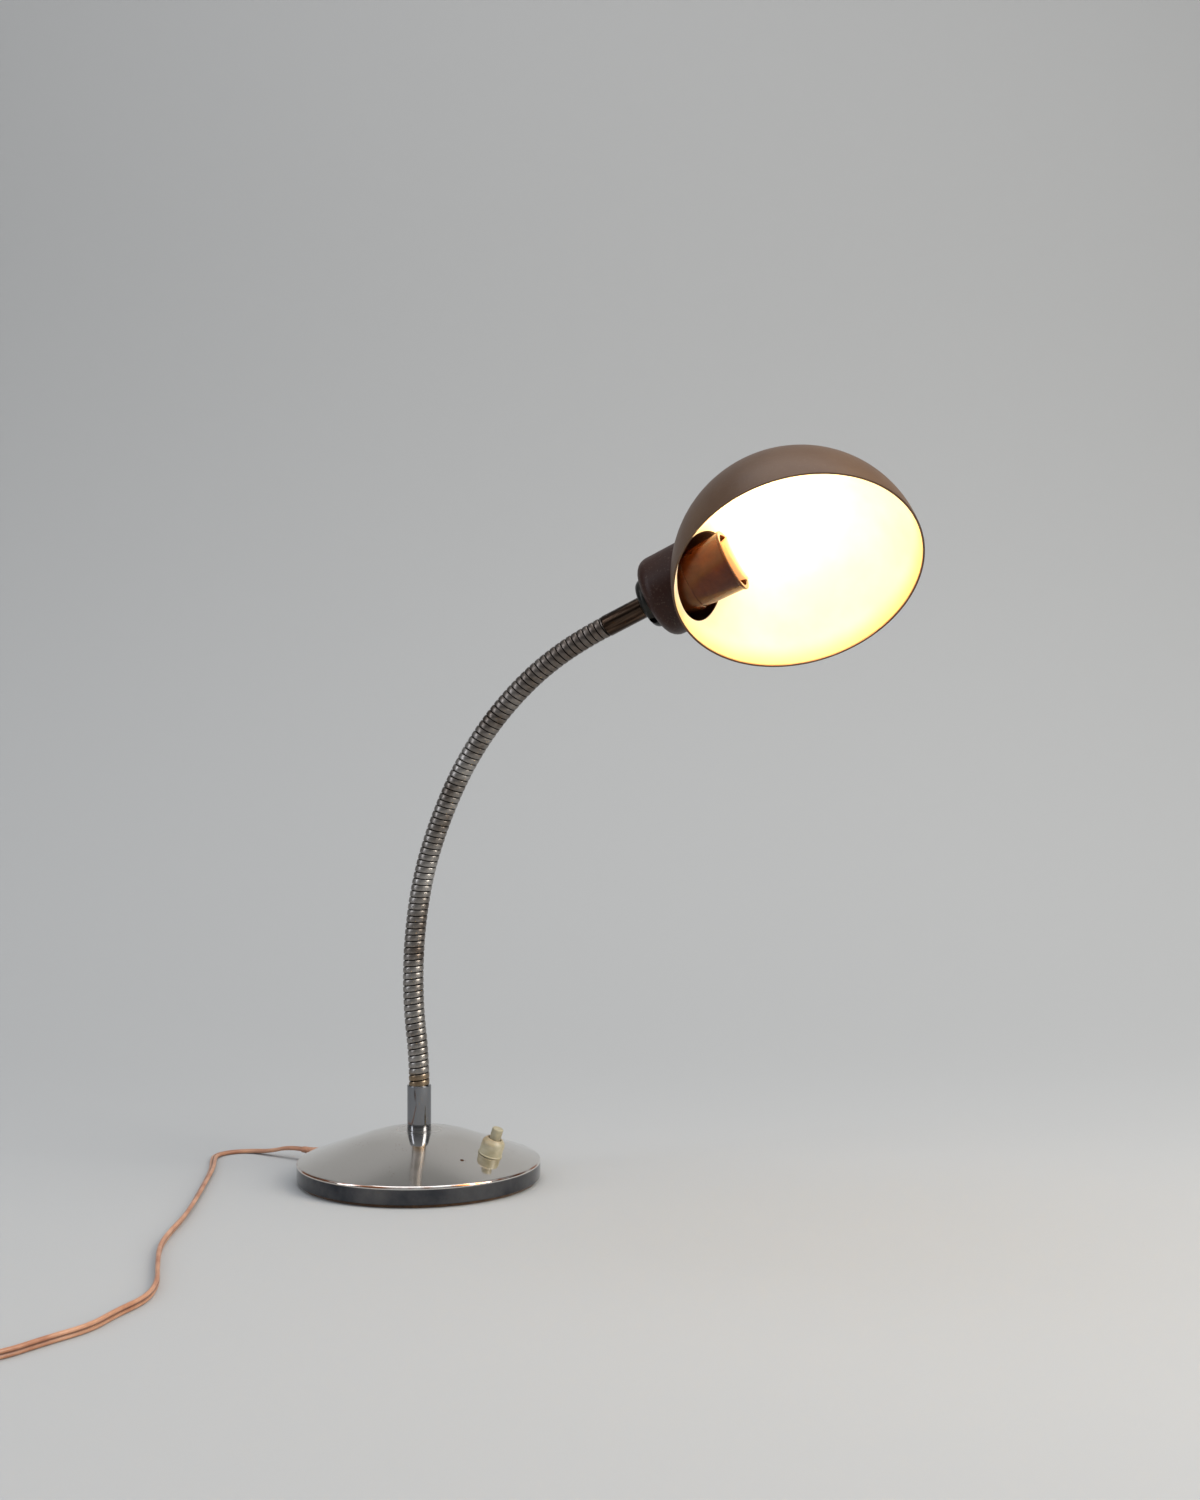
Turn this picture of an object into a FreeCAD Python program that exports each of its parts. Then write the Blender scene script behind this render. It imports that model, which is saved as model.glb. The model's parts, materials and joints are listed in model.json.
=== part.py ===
import FreeCAD, Part
import math
import os

# Gooseneck desk lamp. The origin is on the table under the middle of the round base, +Z is up,
# and the neck leans towards +X. All sizes are in millimetres and all angles in degrees.
os.makedirs("parts", exist_ok=True)

# Round base: a chromed steel shell over a cast iron weight, a steel plate and a felt pad
base_radius = 77.5
rim_height = 13.0
rim_lift = 2.2
crown_height = 32.0
crown_radius = 25.0
shell_wall = 1.0
rim_round = 1.6
crown_round = 30.0
felt_thickness = 2.0
felt_inset = 2.0
plate_thickness = 1.2
seat_gap = 0.3
curve_gap = 0.25
weight_roof = 11.0
nut_pocket_radius = 15.0
plate_screw_inset = 19.5
plate_screw_angles = (80.0, 220.0, 305.0)
plate_screw_radius = 2.0
plate_screw_head = 3.2
plate_screw_length = 9.0

# Stem: a chromed sleeve over a threaded tube, with a washer and a nut under the weight
stem_length = 28.5
stem_radius = 7.65
stem_bore = 5.3
stem_foot_round = 0.3
stem_top_round = 0.5
tube_radius = 5.0
tube_bore = 3.5
tube_below_nut = 1.5
tube_end_gap = 1.0
washer_radius = 10.0
washer_thickness = 1.6
nut_flats = 17.0
nut_height = 5.0
thread_gap = 0.05
cut_past = 1.0

# Gooseneck: a ribbed steel hose in links, each link with its own bend at rest
rib_pitch = 4.05
foot_rib_count = 8
link_rib_count = 10
end_rib_count = 6
link_bends = (-7.0, 8.0, 7.5, 10.0, 7.5, 10.5, 10.5, 12.5, 5.0)
hose_radius = 6.6
groove_radius = 5.7
groove_width = 1.2
rib_flank = 0.35
hose_bore = 3.2
ball_radius = 4.6
ball_gap = 0.3
spigot_radius = 4.9
spigot_length = 7.0

# Leads: two insulated cores through the neck
lead_radius = 1.2
lead_offset = 1.35
lead_past_ball = 4.2
lead_in_ball = 3.0

# Push button switch on the base, square to its cone
switch_from_rim = 24.2
switch_angle = -10.0
switch_radius = 7.25
switch_height = 10.9
switch_shoulder = 2.4
switch_shoulder_radius = 4.9
switch_flange_radius = 7.7
switch_flange_height = 0.8
switch_flange_round = 0.3
switch_shoulder_round = 0.8
switch_top_round = 0.5
switch_bore = 3.75
switch_cavity_radius = 5.2
switch_cavity_roof = 3.4
barrel_radius = 5.0
barrel_bore = 4.2
barrel_length = 5.0
switch_nut_radius = 8.0
switch_nut_height = 1.6
housing_radius = 9.5
housing_height = 5.6
housing_wall = 1.4
button_radius = 3.55
button_proud = 6.75
button_travel = 3.0
button_collar_radius = 4.9
button_collar_height = 1.4
button_top_round = 0.5
plunger_end_gap = 1.0
spring_radius = 2.7
spring_wire = 0.3
spring_turns = 5
running_gap = 0.3
contact_spacing = 11.0
contact_pin = 2.0
contact_pin_radius = 0.8
contact_tongue = 3.0
contact_tongue_thickness = 0.5

# Mains lead: where it leaves the base, its clamp and its strain relief
cord_radius = 2.6
exit_angle = 165.0
exit_height = 7.35
relief_length = 22.0
relief_root_radius = 3.5
relief_tip_radius = 3.2
relief_flange_radius = 4.05
relief_flange_thickness = 1.6
relief_tail = 5.0
relief_tail_wall = 0.8
relief_edge_round = 0.4
relief_flange_round = 0.6
relief_root_round = 0.3
inner_cord_radius = 2.2
channel_half_width = 4.0
switch_channel_half_width = 5.6
lead_bend_reach = 8.0
terminal_tail = 5.0
clamp_gap = 6.15
clamp_length = 19.0
clamp_width = 7.0
clamp_thickness = 1.2
clamp_screw_spacing = 13.0
clamp_screw_radius = 1.5
clamp_screw_head = 2.8
clamp_screw_length = 8.0
clamp_screw_head_height = 0.7
clamp_screw_end_gap = 1.0

# Route of the mains lead on the table, from the strain relief to the coil
table_height = cord_radius
cord_route = (
    (-108.67, 29.12, exit_height),
    (-124.0, 31.5, 3.0),
    (-140.0, 35.2, table_height),
    (-152.3, 27.8, table_height),
    (-156.3, 14.0, table_height),
    (-147.8, -3.0, table_height),
    (-136.5, -23.0, table_height),
    (-121.5, -57.0, table_height),
    (-102.5, -101.0, table_height),
    (-85.5, -143.0, table_height),
    (-75.0, -176.0, table_height),
    (-64.0, -203.0, table_height),
    (-45.0, -235.0, table_height),
    (-28.0, -262.0, table_height),
    (-18.5, -287.0, table_height),
    (-20.0, -312.0, table_height),
    (-18.5, -335.0, table_height),
    (-27.0, -358.0, table_height),
    (-34.0, -384.0, table_height),
)

# Coil of the put-away length, held by a tie, and the plug on its far end
coil_x = -104.0
coil_y = -417.0
coil_inner_radius = 22.3
coil_step = 5.8
coil_turns_per_layer = 3
coil_start_angle = -30.0
coil_lift = 0.9
coil_approach = 20.0
coil_short_angle = 90.0
coil_tail = 16.0
tie_angle = 60.0
tie_width = 6.0
tie_wall = 0.7
tie_gap = 0.15
plug_relief_length = 20.0
plug_relief_root = 5.4
plug_relief_wall = 0.8
plug_relief_round = 0.3
plug_length = 37.0
plug_width = 32.0
plug_neck_width = 15.0
plug_neck_length = 10.0
plug_corner = 3.0
pin_radius = 2.0
pin_length = 19.0
pin_spacing = 19.0
pin_inside = 8.0
pin_root_radius = 1.5
pin_root_showing = 0.5
pin_tip_round = 0.9

# Head: ferrule, collar and cup carry the lampholder and the shade on the neck's own axis
ferrule_length = 27.0
ferrule_radius = 6.8
ferrule_bore = 5.3
ferrule_round = 1.2
ferrule_top_round = 0.3
collar_radius = 15.85
collar_length = 6.9
collar_round = 3.2
collar_screw_radius = 2.0
collar_screw_hole = 2.5
collar_screw_length = 5.0
collar_screw_place = 0.42
collar_screw_depth = 1.0
collar_foot_step = 1.5
collar_edge_low = 2.2
collar_top_round = 0.5
screw_slot_depth = 1.2
screw_slot_width = 0.7
head_gap = 0.3
cup_radius = 25.7
cup_wall = 1.4
cup_floor = 2.0
cup_round = 8.3
locknut_flats = 16.0
locknut_height = 3.0
holder_mouth = 90.0
holder_skirt_length = 28.0
holder_cap_radius = 17.9
holder_neck_radius = 9.0
holder_neck_height = 5.0
holder_neck_round = 0.8
holder_fillet = 2.0
holder_shoulder_height = 8.0
holder_shoulder_step = 2.0
holder_shoulder_round = 3.0
holder_bore_height = 6.0
holder_wall = 2.0
skirt_radius = 18.9
skirt_lip_radius = 19.6
skirt_lip_width = 1.6
joint_step = 0.5
skirt_joint_round = 0.3
skirt_lip_round = 0.3
skirt_mouth_round = 0.4
porcelain_thickness = 10.0
porcelain_boss = 1.5
porcelain_round = 1.0
porcelain_gap = 0.2
thread_shell_radius = 13.9
thread_shell_wall = 0.4
thread_shell_length = 23.0
contact_width = 5.0
contact_thickness = 0.6
contact_length = 16.0
terminal_radius = 2.0
terminal_height = 5.0
terminal_spacing = 18.0
terminal_gap = 0.1
terminal_head_step = 0.8
terminal_head_height = 1.4
head_lead_gap = 0.1
head_lead_inside = 3.0
head_lead_spread_low = 4.0

# Lamp bulb: a golf ball bulb on a 27 mm screw cap
cap_radius = 13.2
cap_length = 22.0
cap_wall = 0.3
cap_button_radius = 4.8
cap_button_height = 2.0
cap_button_round = 0.5
cap_shoulder = 3.0
cap_floor = 0.8
bulb_radius = 22.5
bulb_length = 78.0
bulb_neck_radius = 12.4
glass_wall = 0.7
stem_glass_radius = 4.0
stem_glass_length = 24.0
stem_glass_tip_radius = 1.2
stem_glass_round = 2.0
stem_glass_shoulder = 14.4
stem_flare_height = 1.0
glass_in_cap = 6.0
glass_neck_above_cap = 2.0

# Shade: half a sphere, entered from its side, with the opening square to the axis of the head
shade_radius = 75.0
shade_wall = 1.2
shade_along_head = 125.5
axis_above_opening = 38.2
opening_roll = 36.6
shade_hole_radius = 24.0
cup_seat_gap = 0.05

XAXIS = FreeCAD.Vector(1, 0, 0)
YAXIS = FreeCAD.Vector(0, 1, 0)
ZAXIS = FreeCAD.Vector(0, 0, 1)
ORIGIN = FreeCAD.Vector(0, 0, 0)
parts = {}


def rounded_face(points):
    """Face of a closed outline in XZ; a point is (x, z) or (x, z, radius of its rounding)."""
    corners = [FreeCAD.Vector(p[0], 0, p[1]) for p in points]
    radii = [p[2] if len(p) > 2 else 0.0 for p in points]
    starts, ends, mids = [], [], []
    count = len(corners)
    for i in range(count):
        here = corners[i]
        back = (corners[i - 1] - here).normalize()
        ahead = (corners[(i + 1) % count] - here).normalize()
        half = back.getAngle(ahead) / 2
        reach = radii[i] / math.tan(half)
        starts.append(here + back * reach)
        ends.append(here + ahead * reach)
        middle = here
        if radii[i] > 0:
            bisector = (back + ahead).normalize()
            middle = here + bisector * (radii[i] / math.sin(half) - radii[i])
        mids.append(middle)
    edges = []
    for i in range(count):
        if radii[i] > 0:
            edges.append(Part.Arc(starts[i], mids[i], ends[i]).toShape())
        following = starts[(i + 1) % count]
        if ends[i].distanceToPoint(following) > 1e-6:
            edges.append(Part.LineSegment(ends[i], following).toShape())
    return Part.Face(Part.Wire(edges))


def turned(points):
    """Solid turned about Z from an outline given as (radius, height, rounding)."""
    return rounded_face(points).revolve(ORIGIN, ZAXIS, 360)


def frame(origin, zdir, xdir):
    """Placement whose local Z runs along zdir and local X along xdir."""
    return FreeCAD.Placement(origin, FreeCAD.Rotation(xdir, FreeCAD.Vector(), zdir, "ZXY"))


def placed(shape, placement):
    shape = shape.copy()
    shape.Placement = placement.multiply(shape.Placement)
    return shape


def cylinder(radius, low, high, x=0.0, y=0.0):
    return Part.makeCylinder(radius, high - low, FreeCAD.Vector(x, y, low))


def hexagon(flats, low, height):
    """Hexagonal bar about Z."""
    reach = flats / math.sqrt(3)
    corners = [FreeCAD.Vector(reach * math.cos(math.radians(60 * k)),
                              reach * math.sin(math.radians(60 * k)), low) for k in range(6)]
    return Part.Face(Part.makePolygon(corners + corners[:1])).extrude(ZAXIS * height)


def polar(radius, angle, z=0.0):
    return FreeCAD.Vector(radius * math.cos(math.radians(angle)), radius * math.sin(math.radians(angle)), z)


def arc_from(start, heading, end):
    """Arc that leaves start along heading and ends at end, and the heading it ends with."""
    chord = end - start
    span = chord.Length
    along = chord * (1 / span)
    half = heading.getAngle(along)
    if half < 1e-7:
        return Part.LineSegment(start, end).toShape(), heading
    first = (heading + along).normalize()
    middle = start + first * (span / (2 * math.cos(half / 2)))
    leaving = along * (2 * along.dot(heading)) - heading
    return Part.Arc(start, middle, end).toShape(), leaving.normalize()


def biarc(start, heading, end, leaving):
    """Two arcs that join two points, tangent to the given heading at each."""
    chord = end - start
    both = heading + leaving
    spread = 2 * (1 - heading.dot(leaving))
    if spread < 1e-9:
        reach = chord.dot(chord) / (2 * chord.dot(both))
    else:
        reach = (-chord.dot(both) + math.sqrt(chord.dot(both) ** 2 + spread * chord.dot(chord))) / spread
    joint = (start + heading * reach + end - leaving * reach) * 0.5
    first, middle = arc_from(start, heading, joint)
    return [first, arc_from(joint, middle, end)[0]]


def rounded_route(points):
    """Straight runs through the points, joined by arcs as large as the shorter run allows."""
    edges, radii = [], []
    at = points[0]
    for i in range(1, len(points) - 1):
        back = points[i - 1] - points[i]
        ahead = points[i + 1] - points[i]
        shorter = min(back.Length, ahead.Length)
        half = (math.pi - back.getAngle(ahead)) / 2
        reach = 0.45 * shorter
        radius = reach / math.tan(half)
        radii.append(radius)
        back.normalize()
        ahead.normalize()
        start = points[i] + back * reach
        end = points[i] + ahead * reach
        bisector = (back + ahead).normalize()
        middle = points[i] + bisector * (radius / math.cos(half) - radius)
        edges.append(Part.LineSegment(at, start).toShape())
        edges.append(Part.Arc(start, middle, end).toShape())
        at = end
    edges.append(Part.LineSegment(at, points[-1]).toShape())
    return edges, radii


def tube_on(edges, radius):
    """Round tube along a chain of edges, square at both ends."""
    path = Part.Wire(edges)
    start = edges[0].valueAt(edges[0].FirstParameter)
    heading = edges[0].tangentAt(edges[0].FirstParameter)
    ring = Part.Wire(Part.makeCircle(radius, start, heading))
    return path.makePipeShell([ring], True, False)


# The cone of the base, as a line that can be shifted inwards by a wall or a gap
cone_slope = math.atan((crown_height - rim_height) / (base_radius - crown_radius))


def base_outline(inset, low, high_radius):
    """Half section of the base, drawn in from the outside of the shell by inset."""
    drop = inset / math.cos(cone_slope)
    outer = base_radius - inset
    rim = rim_height - drop + inset * math.tan(cone_slope)
    top = crown_height - inset
    shoulder = base_radius - (top - rim_height + drop) / math.tan(cone_slope)
    return [(high_radius, low), (outer, low), (outer, rim, max(rim_round - inset, 0.3)),
            (shoulder, top, crown_round), (high_radius, top)]


def cone_height(radius):
    return rim_height + (base_radius - radius) * math.tan(cone_slope)


# Where the stacked pieces of the base lie
plate_low = felt_thickness
plate_top = plate_low + plate_thickness
inner_top = crown_height - shell_wall - seat_gap
pocket_roof = inner_top - weight_roof
stem_top = crown_height + stem_length
tube_top = stem_top - spigot_length - tube_end_gap
nut_low = pocket_roof - washer_thickness - nut_height
plate_screw_circle = base_radius - plate_screw_inset
tube_low = nut_low - tube_below_nut

# Frame of the switch, which keeps its distance from the rim: its origin is on the cone, and its Z is
# square to the cone
switch_circle = base_radius - switch_from_rim
switch_out = polar(math.sin(cone_slope), switch_angle, math.cos(cone_slope))
switch_down = polar(math.cos(cone_slope), switch_angle, -math.sin(cone_slope))
switch_seat = frame(polar(switch_circle, switch_angle, cone_height(switch_circle)), switch_out, switch_down)
nut_top = -shell_wall - curve_gap
housing_top = nut_top - switch_nut_height
housing_low = housing_top - housing_height

# Frame of the lead's exit: its Z points out of the rim
exit_out = polar(1, exit_angle)
exit_seat = frame(polar(base_radius, exit_angle, exit_height), exit_out, ZAXIS)
relief_inner_end = base_radius - shell_wall - curve_gap - relief_flange_thickness - relief_tail
clamp_circle = relief_inner_end - clamp_gap - clamp_width / 2


def make_base():
    shell = turned(base_outline(0, rim_lift, 0))
    hollow = turned(base_outline(shell_wall, 0, 0))
    shell = shell.cut(hollow)
    shell = shell.cut(cylinder(tube_radius + thread_gap, crown_height - 2 * shell_wall, crown_height + 1))
    shell = shell.cut(placed(cylinder(barrel_radius + thread_gap, -3 * shell_wall, shell_wall), switch_seat))
    shell = shell.cut(placed(cylinder(relief_root_radius, -3 * shell_wall, shell_wall), exit_seat))
    parts["base_shell"] = shell

    weight = turned(base_outline(shell_wall + seat_gap, plate_top, 0))
    weight = weight.cut(cylinder(nut_pocket_radius, 0, pocket_roof))
    weight = weight.cut(cylinder(tube_radius + seat_gap, 0, crown_height))
    room = housing_radius + housing_wall
    weight = weight.cut(placed(cylinder(room, -2 * crown_height, crown_height), switch_seat))
    channel_top = exit_height + inner_cord_radius + seat_gap
    channel = Part.makeBox(base_radius, 2 * channel_half_width, channel_top,
                           FreeCAD.Vector(0, -channel_half_width, 0))
    weight = weight.cut(placed(channel, frame(ORIGIN, ZAXIS, exit_out)))
    flange_room = relief_tail + relief_flange_thickness + curve_gap + seat_gap
    flange_seat = cylinder(relief_flange_radius + seat_gap, -shell_wall - flange_room, shell_wall)
    weight = weight.cut(placed(flange_seat, exit_seat))
    link = Part.makeBox(switch_circle, 2 * switch_channel_half_width, channel_top,
                        FreeCAD.Vector(0, -switch_channel_half_width, 0))
    weight = weight.cut(placed(link, frame(ORIGIN, ZAXIS, polar(1, switch_angle))))
    recess_top = exit_height - inner_cord_radius
    recess = Part.makeBox(clamp_width + 2 * seat_gap, clamp_length + 2 * seat_gap, recess_top,
                          FreeCAD.Vector(clamp_circle - clamp_width / 2 - seat_gap,
                                         -clamp_length / 2 - seat_gap, 0))
    weight = weight.cut(placed(recess, frame(ORIGIN, ZAXIS, exit_out)))
    for side in (-1, 1):
        hole = cylinder(clamp_screw_radius + thread_gap, 0, recess_top + clamp_screw_length, clamp_circle,
                        side * clamp_screw_spacing / 2)
        weight = weight.cut(placed(hole, frame(ORIGIN, ZAXIS, exit_out)))
    for angle in plate_screw_angles:
        at = polar(plate_screw_circle, angle)
        weight = weight.cut(cylinder(plate_screw_radius + thread_gap, 0, plate_low + plate_screw_length,
                                     at.x, at.y))
    parts["base_weight"] = weight

    plate = cylinder(base_radius - shell_wall - seat_gap, plate_low, plate_top)
    screws = []
    for angle in plate_screw_angles:
        at = polar(plate_screw_circle, angle)
        head = Part.makeCone(plate_screw_head, plate_screw_radius, plate_thickness,
                             FreeCAD.Vector(at.x, at.y, plate_low))
        shank = cylinder(plate_screw_radius, plate_top, plate_low + plate_screw_length, at.x, at.y)
        screws.append(head.fuse(shank).removeSplitter())
        plate = plate.cut(head)
    parts["bottom_plate"] = plate
    parts["plate_screws"] = Part.makeCompound(screws)
    parts["felt_pad"] = cylinder(base_radius - felt_inset, 0, felt_thickness)


def make_stem():
    parts["stem_sleeve"] = turned([(stem_bore, crown_height), (stem_radius, crown_height, stem_foot_round),
                                   (stem_radius, stem_top, stem_top_round), (stem_bore, stem_top)])
    parts["stem_nipple"] = cylinder(tube_radius, tube_low, tube_top).cut(
        cylinder(tube_bore, 0, tube_top + cut_past))
    hole = cylinder(tube_radius + thread_gap, 0, pocket_roof + cut_past)
    parts["stem_washer"] = cylinder(washer_radius, pocket_roof - washer_thickness, pocket_roof).cut(hole)
    parts["stem_nut"] = hexagon(nut_flats, nut_low, nut_height).cut(hole)


def make_switch():
    body = turned([(0, 0), (switch_flange_radius, 0),
                   (switch_flange_radius, switch_flange_height, switch_flange_round),
                   (switch_radius, switch_flange_height),
                   (switch_radius, switch_height - switch_shoulder, switch_shoulder_round),
                   (switch_shoulder_radius, switch_height, switch_top_round), (0, switch_height)])
    body = body.fuse(cylinder(barrel_radius, -barrel_length, 0)).removeSplitter()
    body = body.cut(cylinder(switch_bore, -barrel_length - cut_past, switch_height + cut_past))
    body = body.cut(cylinder(barrel_bore, -barrel_length - cut_past, cut_past))
    body = body.cut(cylinder(switch_cavity_radius, 0, switch_height - switch_cavity_roof))
    parts["switch_body"] = placed(body, switch_seat)

    nut = cylinder(switch_nut_radius, housing_top, nut_top).cut(
        cylinder(barrel_radius + thread_gap, housing_low, 0))
    parts["switch_nut"] = placed(nut, switch_seat)

    # The button's collar is held under the roof of the body and stands on the spring
    roof = switch_height - switch_cavity_roof
    collar_top = roof - running_gap
    collar_low = collar_top - button_collar_height
    button = turned([(0, collar_low), (button_collar_radius, collar_low), (button_collar_radius, collar_top),
                     (button_radius, collar_top),
                     (button_radius, switch_height + button_proud, button_top_round),
                     (0, switch_height + button_proud)])
    stem_low = -barrel_length + button_travel + running_gap + plunger_end_gap
    plunger = cylinder(spring_radius - 3 * spring_wire, stem_low, collar_low)
    parts["switch_button"] = placed(button.fuse(plunger).removeSplitter(), switch_seat)

    housing = cylinder(housing_radius, housing_low, housing_top)
    housing = housing.cut(cylinder(housing_radius - housing_wall, housing_low + housing_wall,
                                   housing_top + cut_past))
    lid = cylinder(housing_radius - housing_wall, housing_top - housing_wall, housing_top)
    lid = lid.cut(cylinder(barrel_radius + thread_gap, housing_low, 0))
    parts["switch_housing"] = placed(housing.fuse(lid).removeSplitter(), switch_seat)

    # The spring stands on the housing's floor, inside the barrel
    spring_low = housing_low + housing_wall + spring_wire
    spring_top = collar_low - spring_wire
    pitch = (spring_top - spring_low) / spring_turns
    helix = Part.makeHelix(pitch, spring_top - spring_low, spring_radius)
    ring = Part.Wire(Part.makeCircle(spring_wire, FreeCAD.Vector(spring_radius, 0, 0), YAXIS))
    spring = Part.Wire(helix).makePipeShell([ring], True, True)
    spring.translate(FreeCAD.Vector(0, 0, spring_low))
    parts["switch_spring"] = placed(spring, switch_seat)

    contacts = []
    for side in (-1, 1):
        y = side * contact_spacing / 2
        tongue = Part.makeBox(contact_tongue, 2 * contact_pin_radius, contact_tongue_thickness,
                              FreeCAD.Vector(-contact_tongue / 2, y - contact_pin_radius,
                                             housing_low + housing_wall))
        pin = cylinder(contact_pin_radius, housing_low - contact_pin, housing_low + housing_wall, 0, y)
        contacts.append(tongue.fuse(pin).removeSplitter())
    parts["switch_contacts"] = placed(Part.makeCompound(contacts), switch_seat)
    housing = parts["switch_housing"]
    for side in (-1, 1):
        hole = cylinder(contact_pin_radius, housing_low - cut_past, housing_low + housing_wall, 0,
                        side * contact_spacing / 2)
        housing = housing.cut(placed(hole, switch_seat))
    parts["switch_housing"] = housing


def station(distance):
    """Point and heading of the neck's centreline, at a distance along it from the stem's top."""
    if distance < 0:
        return FreeCAD.Vector(0, 0, stem_top + distance), ZAXIS
    x, z, lean = 0.0, stem_top, 0.0
    left = distance
    for ribs, bend in zip(link_ribs, link_bends):
        length = ribs * rib_pitch
        run = min(left, length)
        turn = math.radians(bend) * run / length
        if abs(turn) > 1e-9:
            radius = run / turn
            x += radius * (math.cos(lean) - math.cos(lean + turn))
            z += radius * (math.sin(lean + turn) - math.sin(lean))
        else:
            x += run * math.sin(lean)
            z += run * math.cos(lean)
        lean += turn
        left -= run
        if left <= 1e-9:
            break
    x += left * math.sin(lean)
    z += left * math.cos(lean)
    return FreeCAD.Vector(x, 0, z), FreeCAD.Vector(math.sin(lean), 0, math.cos(lean))


link_ribs = (foot_rib_count,) + (link_rib_count,) * (len(link_bends) - 2) + (end_rib_count,)
link_starts = [sum(link_ribs[:k]) * rib_pitch for k in range(len(link_ribs) + 1)]
neck_length = link_starts[-1]


def ring_at(distance, radius, sideways=0.0):
    """Circle square to the neck; its own X axis is always the same, so that lofts don't twist."""
    point, heading = station(distance)
    circle = Part.makeCircle(radius)
    circle.Placement = frame(point + YAXIS * sideways, heading, YAXIS)
    return Part.Wire(circle)


def steps_between(low, high, step):
    count = max(1, int(math.ceil((high - low) / step)))
    return [low + (high - low) * k / count for k in range(count + 1)]


def neck_tube(low, high, radius, sideways=0.0):
    rings = [ring_at(s, radius, sideways) for s in steps_between(low, high, rib_pitch)]
    return Part.makeLoft(rings, True, True)


def hose_link(index):
    """One link of the hose: ribs, a ball at its upper end and a socket for the ball below it."""
    start = link_starts[index]
    rings = []
    for rib in range(link_ribs[index]):
        low = start + rib * rib_pitch + groove_width / 2
        high = start + (rib + 1) * rib_pitch - groove_width / 2
        rings.append(ring_at(low, groove_radius))
        rings.append(ring_at(low + rib_flank, hose_radius))
        rings.append(ring_at(high - rib_flank, hose_radius))
        rings.append(ring_at(high, groove_radius))
    link = Part.makeLoft(rings, True, True)
    low_end = start + groove_width / 2
    high_end = link_starts[index + 1] - groove_width / 2
    if index > 0:
        link = link.cut(Part.makeSphere(ball_radius + ball_gap, station(start)[0]))
    else:
        foot = cylinder(spigot_radius, stem_top - spigot_length, stem_top)
        skirt = cylinder(hose_radius, stem_top, stem_top + groove_width / 2)
        link = link.fuse([foot, skirt]).removeSplitter()
        low_end = -spigot_length
    if index < len(link_bends) - 1:
        centre, heading = station(link_starts[index + 1])
        ball = Part.makeSphere(ball_radius, centre)
        keep = Part.makeCylinder(ball_radius + 1, 2 * ball_radius + 1,
                                 centre - heading * (groove_width / 2), heading)
        link = link.fuse(ball.common(keep)).removeSplitter()
        high_end = link_starts[index + 1] + ball_radius
    else:
        centre, heading = station(neck_length)
        tip = Part.makeCylinder(spigot_radius, spigot_length + groove_width / 2,
                                centre - heading * (groove_width / 2), heading)
        link = link.fuse(tip).removeSplitter()
        high_end = neck_length + spigot_length
    return link.cut(neck_tube(low_end - 1, high_end + 1, hose_bore))


def make_neck():
    last = len(link_bends) - 1
    for index in range(last + 1):
        parts["neck_link_%d" % index] = hose_link(index)
        low = link_starts[index] + lead_past_ball if index else -spigot_length
        high = link_starts[index + 1] + (lead_in_ball if index < last else spigot_length)
        cores = [neck_tube(low, high, lead_radius, side * lead_offset) for side in (-1, 1)]
        parts["neck_leads_%d" % index] = Part.makeCompound(cores)


# Frame of the head: Z along the neck's last heading, X towards the shade's open side
head_origin, head_heading = station(neck_length)
head_down = YAXIS.cross(head_heading).normalize()
if head_down.z > 0:
    head_down = head_down * -1
roll = math.radians(opening_roll)
opening_out = head_down * math.cos(roll) - YAXIS * math.sin(roll)
head_seat = frame(head_origin, head_heading, opening_out)

# Stations along the head's axis, from the end of the hose
collar_low = ferrule_length + head_gap
cup_low = collar_low + collar_length
cup_inside = cup_low + cup_floor
holder_low = cup_inside + locknut_height
skirt_low = holder_mouth - holder_skirt_length
shade_centre = FreeCAD.Vector(axis_above_opening, 0, shade_along_head)
shell_low = skirt_low + porcelain_boss
nipple_low = spigot_length + lead_in_ball
nipple_top = holder_low + holder_bore_height


def make_ferrule():
    ferrule = turned([(ferrule_bore, 0), (ferrule_radius, 0, ferrule_round),
                      (ferrule_radius, ferrule_length, ferrule_top_round), (ferrule_bore, ferrule_length)])
    parts["top_ferrule"] = placed(ferrule, head_seat)
    nipple = cylinder(tube_radius, nipple_low, nipple_top).cut(cylinder(tube_bore, 0, nipple_top + cut_past))
    parts["head_nipple"] = placed(nipple, head_seat)


def make_collar():
    bore = tube_radius + thread_gap
    collar = turned([(bore, collar_low), (ferrule_radius + collar_foot_step, collar_low),
                     (collar_radius, collar_low + collar_edge_low, collar_round),
                     (collar_radius, cup_low, collar_top_round), (bore, cup_low)])
    middle = cup_low - collar_length * collar_screw_place
    seat = Part.makeCylinder(collar_screw_radius + thread_gap, collar_radius,
                             FreeCAD.Vector(0, 0, middle), XAXIS)
    outer = bore + collar_screw_length + collar_screw_depth
    mouth = Part.makeCylinder(collar_screw_hole, collar_radius, FreeCAD.Vector(outer, 0, middle), XAXIS)
    collar = collar.cut(seat).cut(mouth)
    parts["collar"] = placed(collar, head_seat)
    screw = Part.makeCylinder(collar_screw_radius, collar_screw_length,
                              FreeCAD.Vector(bore, 0, middle), XAXIS)
    slot = Part.makeBox(screw_slot_depth, 2 * collar_screw_radius + cut_past, screw_slot_width,
                        FreeCAD.Vector(bore + collar_screw_length - screw_slot_depth,
                                       -collar_screw_radius - cut_past / 2, middle - screw_slot_width / 2))
    parts["collar_screw"] = placed(screw.cut(slot), head_seat)


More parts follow.
